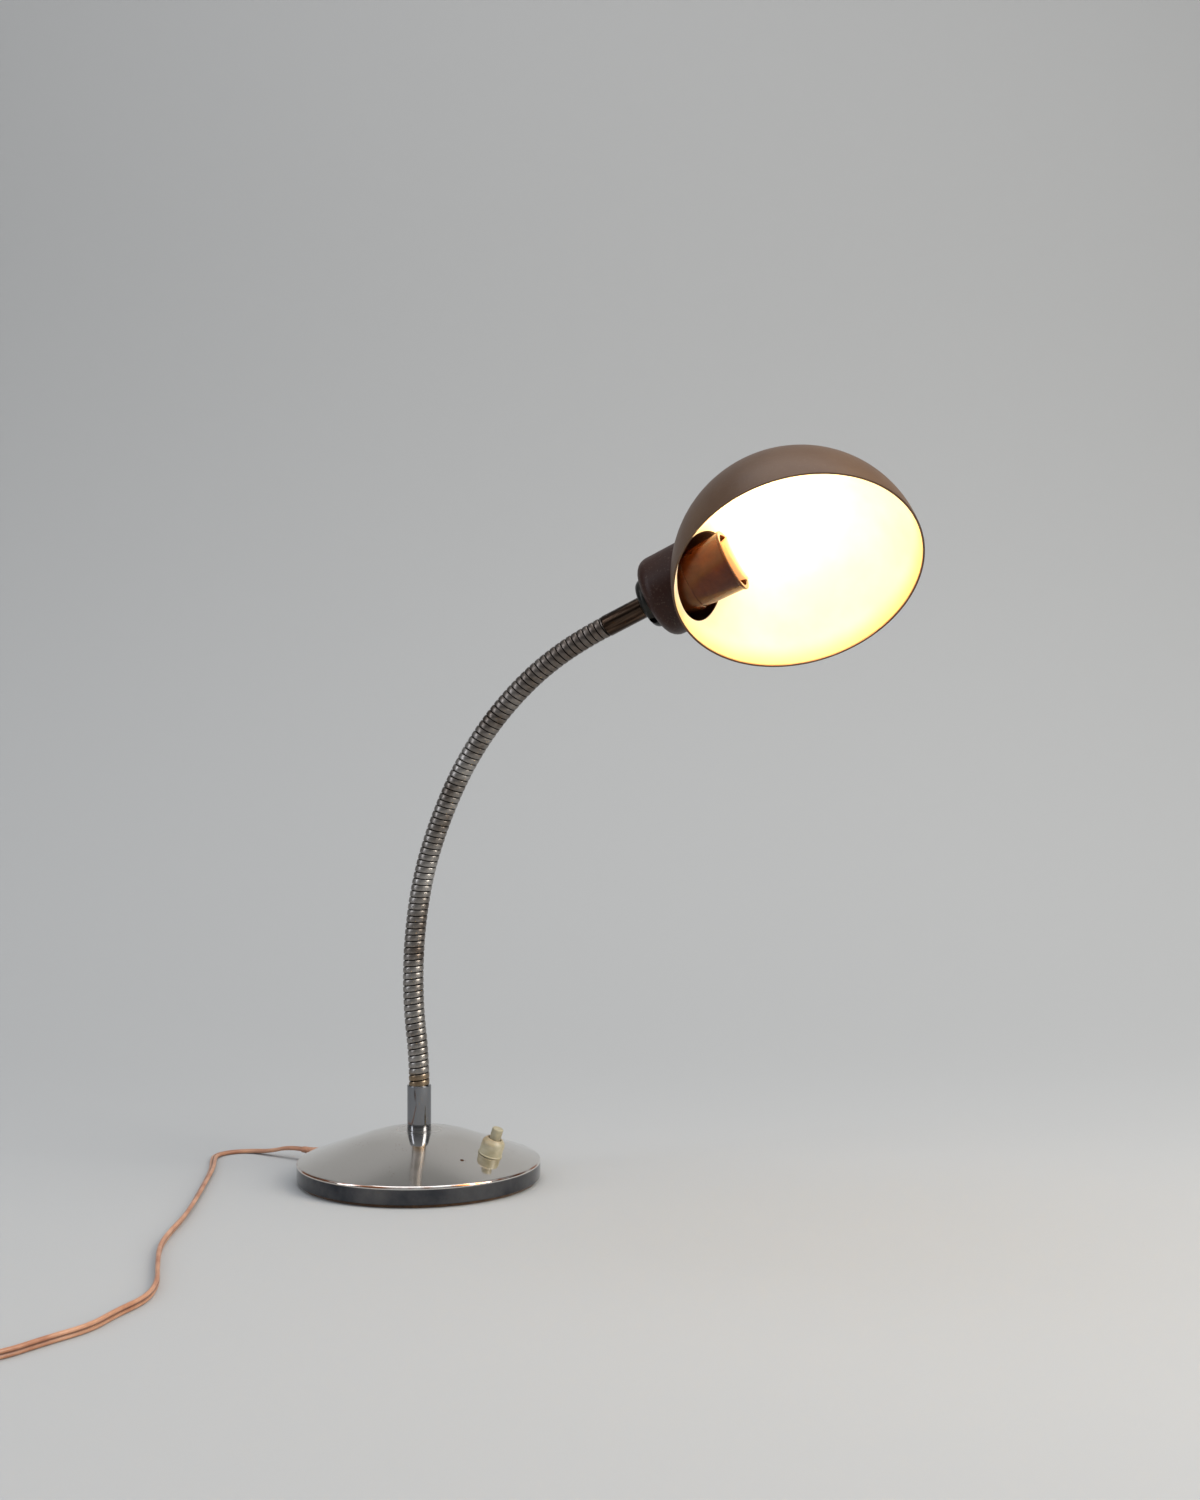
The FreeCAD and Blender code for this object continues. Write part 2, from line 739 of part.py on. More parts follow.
def make_cup():
    bore = tube_radius + thread_gap
    cup = turned([(bore, cup_low), (cup_radius, cup_low, cup_round), (cup_radius, shade_along_head),
                  (cup_radius - cup_wall, shade_along_head),
                  (cup_radius - cup_wall, cup_inside, cup_round - cup_wall), (bore, cup_inside)])
    cup = cup.cut(Part.makeSphere(shade_radius + cup_seat_gap, shade_centre))
    parts["socket_cup"] = placed(cup, head_seat)
    nut = hexagon(locknut_flats, cup_inside, locknut_height).cut(cylinder(bore, 0, holder_low + cut_past))
    parts["cup_locknut"] = placed(nut, head_seat)


def make_holder():
    wall = holder_wall
    bore = tube_radius + thread_gap
    shoulder = holder_low + holder_shoulder_height
    cap = turned([(bore, holder_low), (holder_neck_radius, holder_low, holder_neck_round),
                  (holder_neck_radius, holder_low + holder_neck_height, holder_fillet),
                  (holder_cap_radius - holder_shoulder_step, shoulder, holder_shoulder_round),
                  (holder_cap_radius, skirt_low), (holder_cap_radius - wall, skirt_low),
                  (holder_cap_radius - wall, shoulder + wall), (bore, holder_low + holder_bore_height)])
    parts["holder_cap"] = placed(cap, head_seat)

    root = holder_cap_radius - joint_step
    skirt = turned([(root - wall, skirt_low), (root, skirt_low, skirt_joint_round),
                    (skirt_radius, holder_mouth - skirt_lip_width),
                    (skirt_lip_radius, holder_mouth - skirt_lip_width, skirt_lip_round),
                    (skirt_lip_radius, holder_mouth, skirt_mouth_round),
                    (skirt_radius - wall, holder_mouth, skirt_mouth_round)])
    parts["holder_skirt"] = placed(skirt, head_seat)

    core_low = skirt_low - porcelain_thickness
    core_radius = root - wall - porcelain_gap
    core = turned([(0, core_low), (core_radius, core_low, porcelain_round), (core_radius, shell_low),
                   (0, shell_low)])
    for side in (-1, 1):
        core = core.cut(cylinder(terminal_radius, core_low, core_low + terminal_height, 0,
                                 side * terminal_spacing / 2))
        core = core.cut(cylinder(lead_radius + head_lead_gap, core_low - cut_past,
                                 core_low + head_lead_inside, side * terminal_spacing / 3, 0))
    parts["porcelain_core"] = placed(core, head_seat)

    shell = cylinder(thread_shell_radius, shell_low, shell_low + thread_shell_length)
    shell = shell.cut(cylinder(thread_shell_radius - thread_shell_wall, shell_low,
                               shell_low + 2 * thread_shell_length))
    parts["thread_shell"] = placed(shell, head_seat)

    low = shell_low
    tongue = Part.makeBox(contact_length, contact_width, contact_thickness,
                          FreeCAD.Vector(-contact_length / 2, -contact_width / 2, low))
    parts["centre_contact"] = placed(tongue, head_seat)
    screws = []
    for side in (-1, 1):
        y = side * terminal_spacing / 2
        shank = cylinder(terminal_radius - terminal_gap, core_low, core_low + terminal_height, 0, y)
        head = cylinder(terminal_radius + terminal_head_step, core_low - terminal_head_height, core_low, 0, y)
        screws.append(shank.fuse(head).removeSplitter())
    parts["terminal_screws"] = placed(Part.makeCompound(screws), head_seat)

    # The leads leave the threaded tube and spread to the holder's two terminals
    cores = []
    for side in (-1, 1):
        points = [FreeCAD.Vector(side * lead_offset, 0, nipple_low),
                  FreeCAD.Vector(side * lead_offset, 0, nipple_top + lead_radius),
                  FreeCAD.Vector(side * terminal_spacing / 3, 0, core_low - head_lead_spread_low),
                  FreeCAD.Vector(side * terminal_spacing / 3, 0, core_low + head_lead_inside - lead_radius)]
        cores.append(tube_on(rounded_route(points)[0], lead_radius))
    parts["head_leads"] = placed(Part.makeCompound(cores), head_seat)


def make_bulb():
    """The bulb's cap stands on the centre contact, and its glass is cemented in the cap."""
    low = shell_low + contact_thickness
    cap_low = low + cap_button_height
    cap_top = cap_low + cap_length
    cap = turned([(0, low), (cap_button_radius, low, cap_button_round), (cap_button_radius, cap_low),
                  (cap_radius, cap_low + cap_shoulder), (cap_radius, cap_top),
                  (cap_radius - cap_wall, cap_top),
                  (cap_radius - cap_wall, cap_low + cap_shoulder + cap_wall),
                  (cap_button_radius, cap_low + cap_floor), (0, cap_low + cap_floor)])
    parts["bulb_cap"] = placed(cap, head_seat)

    # The glass swells from its neck into the ball along a tangent arc
    ball = low + bulb_length - bulb_radius
    neck_top = cap_top + glass_neck_above_cap
    drop = ball - neck_top
    gap = bulb_radius - bulb_neck_radius
    sweep = (drop ** 2 + gap ** 2) / (2 * gap) - bulb_radius
    outer = glass_outline(ball, bulb_radius, bulb_neck_radius, neck_top, sweep)
    inner = glass_outline(ball, bulb_radius - glass_wall, bulb_neck_radius - glass_wall, neck_top,
                          sweep + glass_wall)
    foot = cap_top - glass_in_cap
    parts["bulb_glass"] = placed(glass_shell(outer, inner, foot), head_seat)
    stem = turned([(0, foot), (stem_glass_radius, foot),
                   (stem_glass_radius, foot + stem_glass_shoulder, stem_glass_round),
                   (stem_glass_tip_radius, foot + stem_glass_length), (0, foot + stem_glass_length)])
    flare = cylinder(bulb_neck_radius - glass_wall, foot, foot + stem_flare_height)
    parts["bulb_stem"] = placed(stem.fuse(flare).removeSplitter(), head_seat)


def glass_outline(ball, big, small, neck_top, sweep):
    """Arcs of one glass surface: from the top of the ball, round it, and in to the neck."""
    pole = FreeCAD.Vector(0, 0, ball + big)
    centre = FreeCAD.Vector(small + sweep, 0, neck_top)
    away = FreeCAD.Vector(0, 0, ball) - centre
    touch = FreeCAD.Vector(0, 0, ball) - away * (big / away.Length)
    half = (math.pi / 2 + math.atan2(ball - touch.z, touch.x)) / 2
    on_ball = FreeCAD.Vector(big * math.sin(half), 0, ball + big * math.cos(half))
    neck = FreeCAD.Vector(small, 0, neck_top)
    middle = ((touch - centre) + (neck - centre)).normalize() * sweep + centre
    return pole, on_ball, touch, middle, neck


def glass_shell(outer, inner, foot):
    out_foot = FreeCAD.Vector(outer[4].x, 0, foot)
    in_foot = FreeCAD.Vector(inner[4].x, 0, foot)
    edges = [Part.Arc(outer[0], outer[1], outer[2]).toShape(),
             Part.Arc(outer[2], outer[3], outer[4]).toShape(),
             Part.LineSegment(outer[4], out_foot).toShape(),
             Part.LineSegment(out_foot, in_foot).toShape(),
             Part.LineSegment(in_foot, inner[4]).toShape(),
             Part.Arc(inner[4], inner[3], inner[2]).toShape(),
             Part.Arc(inner[2], inner[1], inner[0]).toShape(),
             Part.LineSegment(inner[0], outer[0]).toShape()]
    return Part.Face(Part.Wire(edges)).revolve(ORIGIN, ZAXIS, 360)


def make_shade():
    """Half a sphere about the local X axis, with a rounded edge and a hole in its side."""
    outer, inner = shade_radius, shade_radius - shade_wall
    middle = (outer + inner) / 2
    diagonal = math.sqrt(0.5)
    points = [FreeCAD.Vector(-outer, 0, 0), FreeCAD.Vector(-outer * diagonal, 0, outer * diagonal),
              FreeCAD.Vector(0, 0, outer), FreeCAD.Vector(shade_wall / 2, 0, middle),
              FreeCAD.Vector(0, 0, inner), FreeCAD.Vector(-inner * diagonal, 0, inner * diagonal),
              FreeCAD.Vector(-inner, 0, 0)]
    edges = [Part.Arc(points[0], points[1], points[2]).toShape(),
             Part.Arc(points[2], points[3], points[4]).toShape(),
             Part.Arc(points[4], points[5], points[6]).toShape(),
             Part.LineSegment(points[6], points[0]).toShape()]
    shade = Part.Face(Part.Wire(edges)).revolve(ORIGIN, XAXIS, 360)
    shade.translate(shade_centre)
    shade = shade.cut(cylinder(shade_hole_radius, 0, shade_along_head))
    parts["shade"] = placed(shade, head_seat)


def make_relief():
    """Rubber sleeve that holds the lead in the rim and tapers away from it."""
    groove = relief_root_radius - thread_gap
    inner = -shell_wall - curve_gap
    flange = inner - relief_flange_thickness
    tail = inner_cord_radius + relief_tail_wall
    relief = turned([(0, flange - relief_tail), (tail, flange - relief_tail, relief_edge_round),
                     (tail, flange), (relief_flange_radius, flange, relief_edge_round),
                     (relief_flange_radius, inner), (groove, inner), (groove, thread_gap),
                     (relief_flange_radius, thread_gap),
                     (relief_flange_radius, relief_flange_thickness, relief_flange_round),
                     (relief_root_radius, relief_flange_thickness, relief_root_round),
                     (relief_tip_radius, relief_length, relief_edge_round), (0, relief_length)])
    parts["strain_relief"] = placed(relief, exit_seat)


def make_inner_cord():
    """The lead inside the base, its clamp, and the cores to the switch and up the stem."""
    inside = frame(ORIGIN, ZAXIS, exit_out)
    end = nut_pocket_radius + cut_past
    lead = Part.makeCylinder(inner_cord_radius, relief_inner_end - end,
                             FreeCAD.Vector(relief_inner_end, 0, exit_height), XAXIS * -1)
    along = frame(ORIGIN, ZAXIS, polar(1, switch_angle))
    stem_end = stem_top - spigot_length
    low = plate_top + 2 * lead_radius
    under_stem = low + lead_radius
    terminals = [switch_seat.multVec(FreeCAD.Vector(0, side * contact_spacing / 2, housing_low - contact_pin))
                 for side in (-1, 1)]
    split = end - seat_gap
    up_the_stem = [inside.multVec(FreeCAD.Vector(split, lead_offset, exit_height)),
                   FreeCAD.Vector(0, -lead_offset, under_stem), FreeCAD.Vector(0, -lead_offset, stem_end)]
    to_switch = [inside.multVec(FreeCAD.Vector(split, -lead_offset, exit_height)),
                 along.multVec(FreeCAD.Vector(-lead_offset, 3 * lead_offset, under_stem)),
                 along.multVec(FreeCAD.Vector(switch_circle * 0.6, 2 * lead_offset, low)),
                 terminals[1] - switch_out * terminal_tail, terminals[1]]
    from_switch = [terminals[0], terminals[0] - switch_out * terminal_tail,
                   along.multVec(FreeCAD.Vector(switch_circle * 0.6, -2 * lead_offset, low)),
                   along.multVec(FreeCAD.Vector(lead_bend_reach, 0, low)),
                   FreeCAD.Vector(0, lead_offset, under_stem), FreeCAD.Vector(0, lead_offset, stem_end)]
    cores = [tube_on(rounded_route(points)[0], lead_radius)
             for points in (up_the_stem, to_switch, from_switch)]
    parts["base_leads"] = Part.makeCompound([placed(lead, inside)] + cores)

    clamp_top = exit_height - inner_cord_radius
    clamp = Part.makeBox(clamp_width, clamp_length, clamp_thickness,
                         FreeCAD.Vector(clamp_circle - clamp_width / 2, -clamp_length / 2,
                                        clamp_top - clamp_thickness))
    screws = []
    for side in (-1, 1):
        y = side * clamp_screw_spacing / 2
        clamp_low = clamp_top - clamp_thickness
        shank = cylinder(clamp_screw_radius, clamp_low, clamp_top + clamp_screw_length - clamp_screw_end_gap,
                         clamp_circle, y)
        head = cylinder(clamp_screw_head, clamp_low - clamp_screw_head_height, clamp_low, clamp_circle, y)
        clamp = clamp.cut(shank)
        screws.append(shank.fuse(head).removeSplitter())
    parts["cord_clamp"] = placed(clamp, inside)
    parts["clamp_screws"] = placed(Part.makeCompound(screws), inside)


# The coil: radius, height and heading at an angle turned from its start, winding clockwise
layer_turn = coil_turns_per_layer * 2 * math.pi
coil_outer_radius = coil_inner_radius + coil_turns_per_layer * coil_step
coil_total = 2 * layer_turn + math.pi - math.radians(coil_short_angle)
layer_height = cord_radius + coil_lift


def coil_polar(turn):
    """Radius and height of the coil's centreline after an angle of turn, in radians."""
    slope = coil_step / (2 * math.pi)
    if turn < layer_turn:
        return coil_outer_radius - slope * turn, layer_height
    past = turn - layer_turn
    if past > math.pi:
        return coil_inner_radius + slope * (past - math.pi), layer_height + coil_step
    share = past / math.pi
    climb = share * share * (3 - 2 * share)
    return coil_inner_radius - slope * past * (1 - share), layer_height + coil_step * climb


def coil_point(turn):
    radius, height = coil_polar(turn)
    angle = math.radians(coil_start_angle) - turn
    return FreeCAD.Vector(coil_x + radius * math.cos(angle), coil_y + radius * math.sin(angle), height)


def coil_heading(turn):
    step = 1e-5
    low, high = max(turn - step, 0), min(turn + step, coil_total)
    return (coil_point(high) - coil_point(low)).normalize()


coil_in = coil_point(0) - coil_heading(0) * (2 * cord_radius)
coil_out = coil_point(coil_total) + coil_heading(coil_total) * coil_tail


def make_cord():
    relief_end = exit_seat.multVec(FreeCAD.Vector(0, 0, relief_length))
    approach = coil_in - coil_heading(0) * coil_approach
    points = [relief_end] + [FreeCAD.Vector(*p) for p in cord_route] + [approach, coil_in]
    edges, radii = rounded_route(points)
    cord = tube_on(edges, cord_radius)
    parts["mains_cord"] = cord
    length = sum(edge.Length for edge in edges)
    ratio = cord.Volume / (math.pi * cord_radius ** 2 * length)
    print("mains cord length %.0f mm, volume against section times length %.4f" % (length, ratio))
    print("bend radii", " ".join("%.0f" % radius for radius in radii))

    quarter = math.pi / 2
    edges = [Part.LineSegment(coil_in, coil_point(0)).toShape()]
    for k in range(int(round(coil_total / quarter))):
        edges += biarc(coil_point(k * quarter), coil_heading(k * quarter),
                       coil_point((k + 1) * quarter), coil_heading((k + 1) * quarter))
    edges.append(Part.LineSegment(coil_point(coil_total), coil_out).toShape())
    coil = tube_on(edges, cord_radius)
    parts["cord_coil"] = coil
    coil_length = sum(edge.Length for edge in edges)
    ratio = coil.Volume / (math.pi * cord_radius ** 2 * coil_length)
    print("coil length %.0f mm, volume against section times length %.4f" % (coil_length, ratio))
    print("least gap of the coil to itself %.2f mm" % least_gap(edges))
    print("whole lead %.0f mm" % (length + coil_length + relief_length))


def least_gap(edges):
    """Least gap between turns, on points along the coil more than half a turn apart."""
    samples = []
    travelled = 0.0
    for edge in edges:
        count = max(2, int(edge.Length / 2))
        for point in edge.discretize(count)[:-1]:
            samples.append((travelled, point))
            travelled += edge.Length / (count - 1)
    apart = math.pi * coil_inner_radius
    gaps = [a[1].distanceToPoint(b[1]) for i, a in enumerate(samples) for b in samples[i + 1:]
            if b[0] - a[0] > apart]
    return min(gaps) - 2 * cord_radius


def make_tie():
    """Strap round the coil's bundle of turns, square to them."""
    inner = coil_inner_radius - coil_step * 0.125 - cord_radius - tie_gap
    outer = coil_outer_radius + cord_radius + tie_gap
    low = coil_lift - tie_gap
    high = layer_height + coil_step + cord_radius + tie_gap
    band = rounded_face([(inner - tie_wall, low - tie_wall, 2), (outer + tie_wall, low - tie_wall, 2),
                         (outer + tie_wall, high + tie_wall, 2), (inner - tie_wall, high + tie_wall, 2)])
    hole = rounded_face([(inner, low, 1.3), (outer, low, 1.3), (outer, high, 1.3), (inner, high, 1.3)])
    tie = band.cut(hole).extrude(YAXIS * tie_width)
    tie.translate(YAXIS * (-tie_width / 2))
    parts["cord_tie"] = placed(tie, frame(FreeCAD.Vector(coil_x, coil_y, 0), ZAXIS, polar(1, tie_angle)))


def make_plug():
    """Flat plug with two round pins that lies on the table beside the coil, in line with its end."""
    seat = frame(coil_out, coil_heading(coil_total), ZAXIS)
    half_height = layer_height + coil_step
    relief = turned([(0, 0), (cord_radius + plug_relief_wall, 0, plug_relief_round),
                     (plug_relief_root, plug_relief_length), (0, plug_relief_length)])
    parts["plug_relief"] = placed(relief, seat)
    low, high = plug_relief_length, plug_relief_length + plug_length
    neck, wide = plug_neck_width / 2, plug_width / 2
    outline = [(low, -neck, plug_corner), (low + plug_neck_length, -wide, plug_corner * 2),
               (high, -wide, plug_corner), (high, wide, plug_corner),
               (low + plug_neck_length, wide, plug_corner * 2), (low, neck, plug_corner)]
    body = rounded_face(outline).extrude(YAXIS * (2 * half_height))
    body.translate(YAXIS * -half_height)
    body = body.makeFillet(plug_corner * 0.8, [edge for edge in body.Edges
                                               if abs(abs(edge.CenterOfMass.y) - half_height) < 0.01])
    body.Placement = FreeCAD.Placement(ORIGIN, FreeCAD.Rotation(ZAXIS, XAXIS, YAXIS, "XYZ"))
    pins = []
    for side in (-1, 1):
        at = side * pin_spacing / 2
        hole = cylinder(pin_root_radius, high - pin_inside, high + cut_past, 0, at)
        tip = high + pin_length
        shoulder = high + pin_root_showing
        pin = cylinder(pin_radius, shoulder, tip, 0, at)
        pin = pin.fuse(cylinder(pin_root_radius, high - pin_inside, shoulder, 0, at))
        pin = pin.makeFillet(pin_tip_round,
                             [edge for edge in pin.Edges if abs(edge.CenterOfMass.z - tip) < 0.01])
        body = body.cut(hole)
        pins.append(pin)
    parts["plug_body"] = placed(body, seat)
    parts["plug_pins"] = placed(Part.makeCompound(pins), seat)


make_base()
make_stem()
make_switch()
make_neck()
make_ferrule()
make_collar()
make_cup()
make_holder()
make_bulb()
make_shade()
make_relief()
make_inner_cord()
make_cord()
make_tie()
make_plug()

for name, shape in parts.items():
    solids = shape.Solids
    if not solids or not all(solid.isValid() and solid.isClosed() for solid in solids):
        print("not a closed valid solid:", name)
    if len(solids) == 1:
        shape = solids[0]
    else:
        shape = Part.makeCompound(solids)
    shape.exportStep("parts/%s.step" % name)
print(len(parts), "nodes")
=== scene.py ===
import bmesh
import bpy
import json
import math
from mathutils import Matrix, Vector


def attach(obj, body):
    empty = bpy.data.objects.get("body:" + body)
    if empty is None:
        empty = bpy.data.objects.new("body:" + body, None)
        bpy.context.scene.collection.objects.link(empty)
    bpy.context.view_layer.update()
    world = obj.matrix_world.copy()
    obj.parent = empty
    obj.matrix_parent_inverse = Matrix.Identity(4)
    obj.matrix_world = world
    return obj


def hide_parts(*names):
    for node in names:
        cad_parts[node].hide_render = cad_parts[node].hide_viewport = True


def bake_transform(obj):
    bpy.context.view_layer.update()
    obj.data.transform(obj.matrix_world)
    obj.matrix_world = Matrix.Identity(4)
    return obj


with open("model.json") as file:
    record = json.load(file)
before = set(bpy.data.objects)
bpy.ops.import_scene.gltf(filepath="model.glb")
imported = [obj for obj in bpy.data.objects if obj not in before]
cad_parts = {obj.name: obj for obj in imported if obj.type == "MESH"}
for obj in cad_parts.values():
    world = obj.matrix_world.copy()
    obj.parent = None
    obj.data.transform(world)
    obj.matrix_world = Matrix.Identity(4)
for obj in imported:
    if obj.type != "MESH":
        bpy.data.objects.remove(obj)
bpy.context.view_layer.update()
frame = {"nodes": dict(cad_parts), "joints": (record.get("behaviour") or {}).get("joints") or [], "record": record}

# Room and camera: a pale floor that curves up into a pale wall, soft light from large windows, and a
# level camera at the height of the middle of the neck, a little to the right of the lamp's own plane.
MM = 0.001
view_turn = math.radians(18.6)
view_distance = 1184.2 * MM
view_height = 274.5 * MM
view_aside = 115.6 * MM
photo_long_side = 1500
view_focal_pixels = 1852
film_side = 36

right = Vector((math.cos(view_turn), math.sin(view_turn), 0))
ahead = Vector((-math.sin(view_turn), math.cos(view_turn), 0))
camera = bpy.data.objects.new("camera", bpy.data.cameras.new("camera"))
camera.data.lens = view_focal_pixels * film_side / photo_long_side
camera.location = right * view_aside - ahead * view_distance + Vector((0, 0, view_height))
camera.rotation_euler = (math.pi / 2, 0, view_turn)
bpy.context.scene.collection.objects.link(camera)
bpy.context.scene.camera = camera
bpy.context.scene.view_settings.view_transform = "Standard"


def colour(code):
    """Linear colour of an sRGB hex value."""
    channels = [int(code[i:i + 2], 16) / 255 for i in (0, 2, 4)]
    return [c / 12.92 if c <= 0.04045 else ((c + 0.055) / 1.055) ** 2.4 for c in channels] + [1.0]


def add_node(tree, kind, inputs=None, stops=(), **settings):
    """Add a node; inputs gives sockets, by name or number, a value or another node's output.

    A colour ramp has its two stops as pairs of position and hex value. Object coordinates are in metres,
    so the scale of a noise is about how many of its patches go to a metre: 60 gives patches of 17 mm.
    """
    node = tree.nodes.new(kind)
    for setting, value in settings.items():
        setattr(node, setting, value)
    for element, (position, code) in enumerate(stops):
        node.color_ramp.elements[element].position = position
        node.color_ramp.elements[element].color = colour(code)
    for socket, value in (inputs or {}).items():
        if isinstance(value, bpy.types.NodeSocket):
            tree.links.new(value, node.inputs[socket])
        else:
            node.inputs[socket].default_value = value
    return node


def new_finish(name, **sockets):
    """A material, its node tree and its shader, with constants set on the shader's own sockets."""
    material = bpy.data.materials.new(name)
    material.use_nodes = True
    tree = material.node_tree
    shader = tree.nodes["Principled BSDF"]
    for socket, value in sockets.items():
        shader.inputs[socket.replace("_", " ")].default_value = value
    return material, tree, shader


def smooth_but_for_corners(bm):
    """Smooth shading on every face, and corners kept where faces meet at more than 32 degrees."""
    corner = math.radians(32)
    for face in bm.faces:
        face.smooth = True
    for edge in bm.edges:
        edge.smooth = len(edge.link_faces) == 2 and edge.calc_face_angle() < corner


def to_scene(bm, name, *materials):
    """The object of a finished bmesh, with its materials in their slots."""
    smooth_but_for_corners(bm)
    mesh = bpy.data.meshes.new(name)
    bm.to_mesh(mesh)
    bm.free()
    piece = bpy.data.objects.new(name, mesh)
    for material in materials:
        mesh.materials.append(material)
    bpy.context.scene.collection.objects.link(piece)
    return piece


room_width = 9.0
cove_start = 0.3
cove_length = 1.8
cove_steps = 60
wall_height = 3.0
lamp_middle = Vector((0.08, 0, 0.25))

bm = bmesh.new()
line = [bm.verts.new((-room_width / 2, y, 0)) for y in (-room_width / 2, cove_start)]
for k in range(cove_steps):
    share = (k + 0.5) / cove_steps
    lean = math.pi / 2 * share * share * (3 - 2 * share)
    step = Vector((0, math.cos(lean), math.sin(lean))) * cove_length / cove_steps
    line.append(bm.verts.new(line[-1].co + step))
line.append(bm.verts.new(line[-1].co + Vector((0, 0, wall_height))))
for low, high in zip(line, line[1:]):
    bm.edges.new((low, high))
spread = bmesh.ops.extrude_edge_only(bm, edges=bm.edges[:])["geom"]
far_side = [v for v in spread if isinstance(v, bmesh.types.BMVert)]
bmesh.ops.translate(bm, verts=far_side, vec=(room_width, 0, 0))
bmesh.ops.rotate(bm, verts=bm.verts[:], cent=(0, 0, 0), matrix=Matrix.Rotation(view_turn, 3, "Z"))
room_paint = new_finish("matt_room_paint", Base_Color=colour("b2b3b3"), Roughness=0.95)[0]
room = to_scene(bm, "room", room_paint)

world = bpy.data.worlds.new("daylight")
bpy.context.scene.world = world
world.use_nodes = True
tree = world.node_tree
background = tree.nodes["Background"]
direction = add_node(tree, "ShaderNodeTexCoord")
height = add_node(tree, "ShaderNodeSeparateXYZ", {0: direction.outputs["Generated"]})
sky = add_node(tree, "ShaderNodeValToRGB", {0: height.outputs["Z"]},
               stops=((0.05, "424448"), (0.75, "e4e7ea")))
tree.links.new(sky.outputs[0], background.inputs["Color"])
background.inputs["Strength"].default_value = 0.8


def window(name, place, size, power, code):
    """A large soft area light that faces the lamp."""
    light = bpy.data.lights.new(name, "AREA")
    light.shape = "RECTANGLE"
    light.size, light.size_y = size
    light.energy = power
    light.color = colour(code)[:3]
    holder = bpy.data.objects.new(name, light)
    holder.location = right * place[0] + ahead * place[1] + Vector((0, 0, place[2]))
    aim = lamp_middle - holder.location
    holder.rotation_euler = aim.to_track_quat("-Z", "Y").to_euler()
    bpy.context.scene.collection.objects.link(holder)


window("window_right", (1.5, -0.75, 1.1), (0.8, 1.7), 34, "fffaf2")
window("window_left", (-1.7, -0.7, 0.9), (0.45, 1.5), 9, "eef4ff")
window("ceiling", (0.1, 0.1, 2.2), (1.9, 1.4), 15, "fbfbff")

# Mains lead: flat twin flex in copper coloured PVC, extruded as two round cores side by side. It leaves
# the rim at the back left, runs across the table to the left, and the rest is wound and tied.
flex_width = 4.7 * MM
flex_thickness = 2.4 * MM
flex_web = 1.1 * MM
tube_radius = 2.6 * MM
base_radius = 77.5 * MM
exit_angle = math.radians(165)
exit_height = 7.35 * MM
relief_length = 22 * MM
flat_height = flex_thickness / 2
edge_height = flex_width / 2
lead_route = (
    (-108.67, 29.12, 7.35), (-124.0, 31.5, 3.0), (-140.0, 35.2, 2.6), (-152.3, 27.8, 2.6),
    (-156.3, 14.0, 2.6), (-147.8, -3.0, 2.6), (-136.5, -23.0, 2.6), (-121.5, -57.0, 2.6),
    (-102.5, -101.0, 2.6), (-85.5, -143.0, 2.6), (-75.0, -176.0, 2.6), (-64.0, -203.0, 2.6),
    (-45.0, -235.0, 2.6), (-28.0, -262.0, 2.6), (-18.5, -287.0, 2.6), (-20.0, -312.0, 2.6),
    (-18.5, -335.0, 2.6), (-27.0, -358.0, 2.6), (-34.0, -384.0, 2.6),
)
coil_middle = Vector((-104, -417, 0)) * MM
coil_inner = 22.3 * MM
coil_step = 5.8 * MM
layer_turn = 3 * 2 * math.pi
coil_outer = coil_inner + 3 * coil_step
coil_low = tube_radius + 0.9 * MM
coil_start = math.radians(-30)
coil_total = 2 * layer_turn + math.pi / 2
points_per_turn = 18
coil_lead_in = 20 * MM
coil_tail = 16 * MM


def coil_point(turn):
    """Centre of the flex after an angle of turn: in, over the half turn, and out again."""
    slope = coil_step / (2 * math.pi)
    past = turn - layer_turn
    if past < 0:
        radius, level = coil_outer - slope * turn, coil_low
    elif past > math.pi:
        radius, level = coil_inner + slope * (past - math.pi), coil_low + coil_step
    else:
        share = past / math.pi
        radius = coil_inner - slope * past * (1 - share)
        level = coil_low + coil_step * share * share * (3 - 2 * share)
    angle = coil_start - turn
    return coil_middle + Vector((radius * math.cos(angle), radius * math.sin(angle), level))


def coil_heading(turn):
    """Direction of the flex after an angle of turn, from two points close together."""
    step = 0.001
    return (coil_point(turn + step) - coil_point(turn)).normalized()


entry_heading = coil_heading(0)
coil_entry = coil_point(0) - entry_heading * 2 * tube_radius
coil_exit = coil_point(coil_total) + coil_heading(coil_total) * coil_tail
relief_end = Vector((math.cos(exit_angle), math.sin(exit_angle), 0)) * (base_radius + relief_length)
relief_end.z = exit_height
route = [relief_end] + [Vector(p) * MM for p in lead_route]
flat_count = len(route)
route.append(coil_entry - entry_heading * coil_lead_in)
route.append(coil_entry)
turns = int(points_per_turn * coil_total / (2 * math.pi))
route += [coil_point(coil_total * k / turns) for k in range(turns + 1)] + [coil_exit]

# The flex lies flat at first, rolls over by these degrees at these points, and then stands on its edge
roll_of_point = {5: 10, 6: 25, 7: 40, 8: 45, 9: 50, 10: 60, 11: 75}
on_edge_from = 12
on_table_from = 3
table_clearance = 0.1 * MM
tilts = [math.radians(roll_of_point.get(k, 0)) for k in range(on_edge_from)]
tilts += [math.pi / 2] * (len(route) - on_edge_from)
for point, tilt in list(zip(route, tilts))[on_table_from:flat_count]:
    point.z = flat_height + (edge_height - flat_height) * abs(math.sin(tilt)) + table_clearance


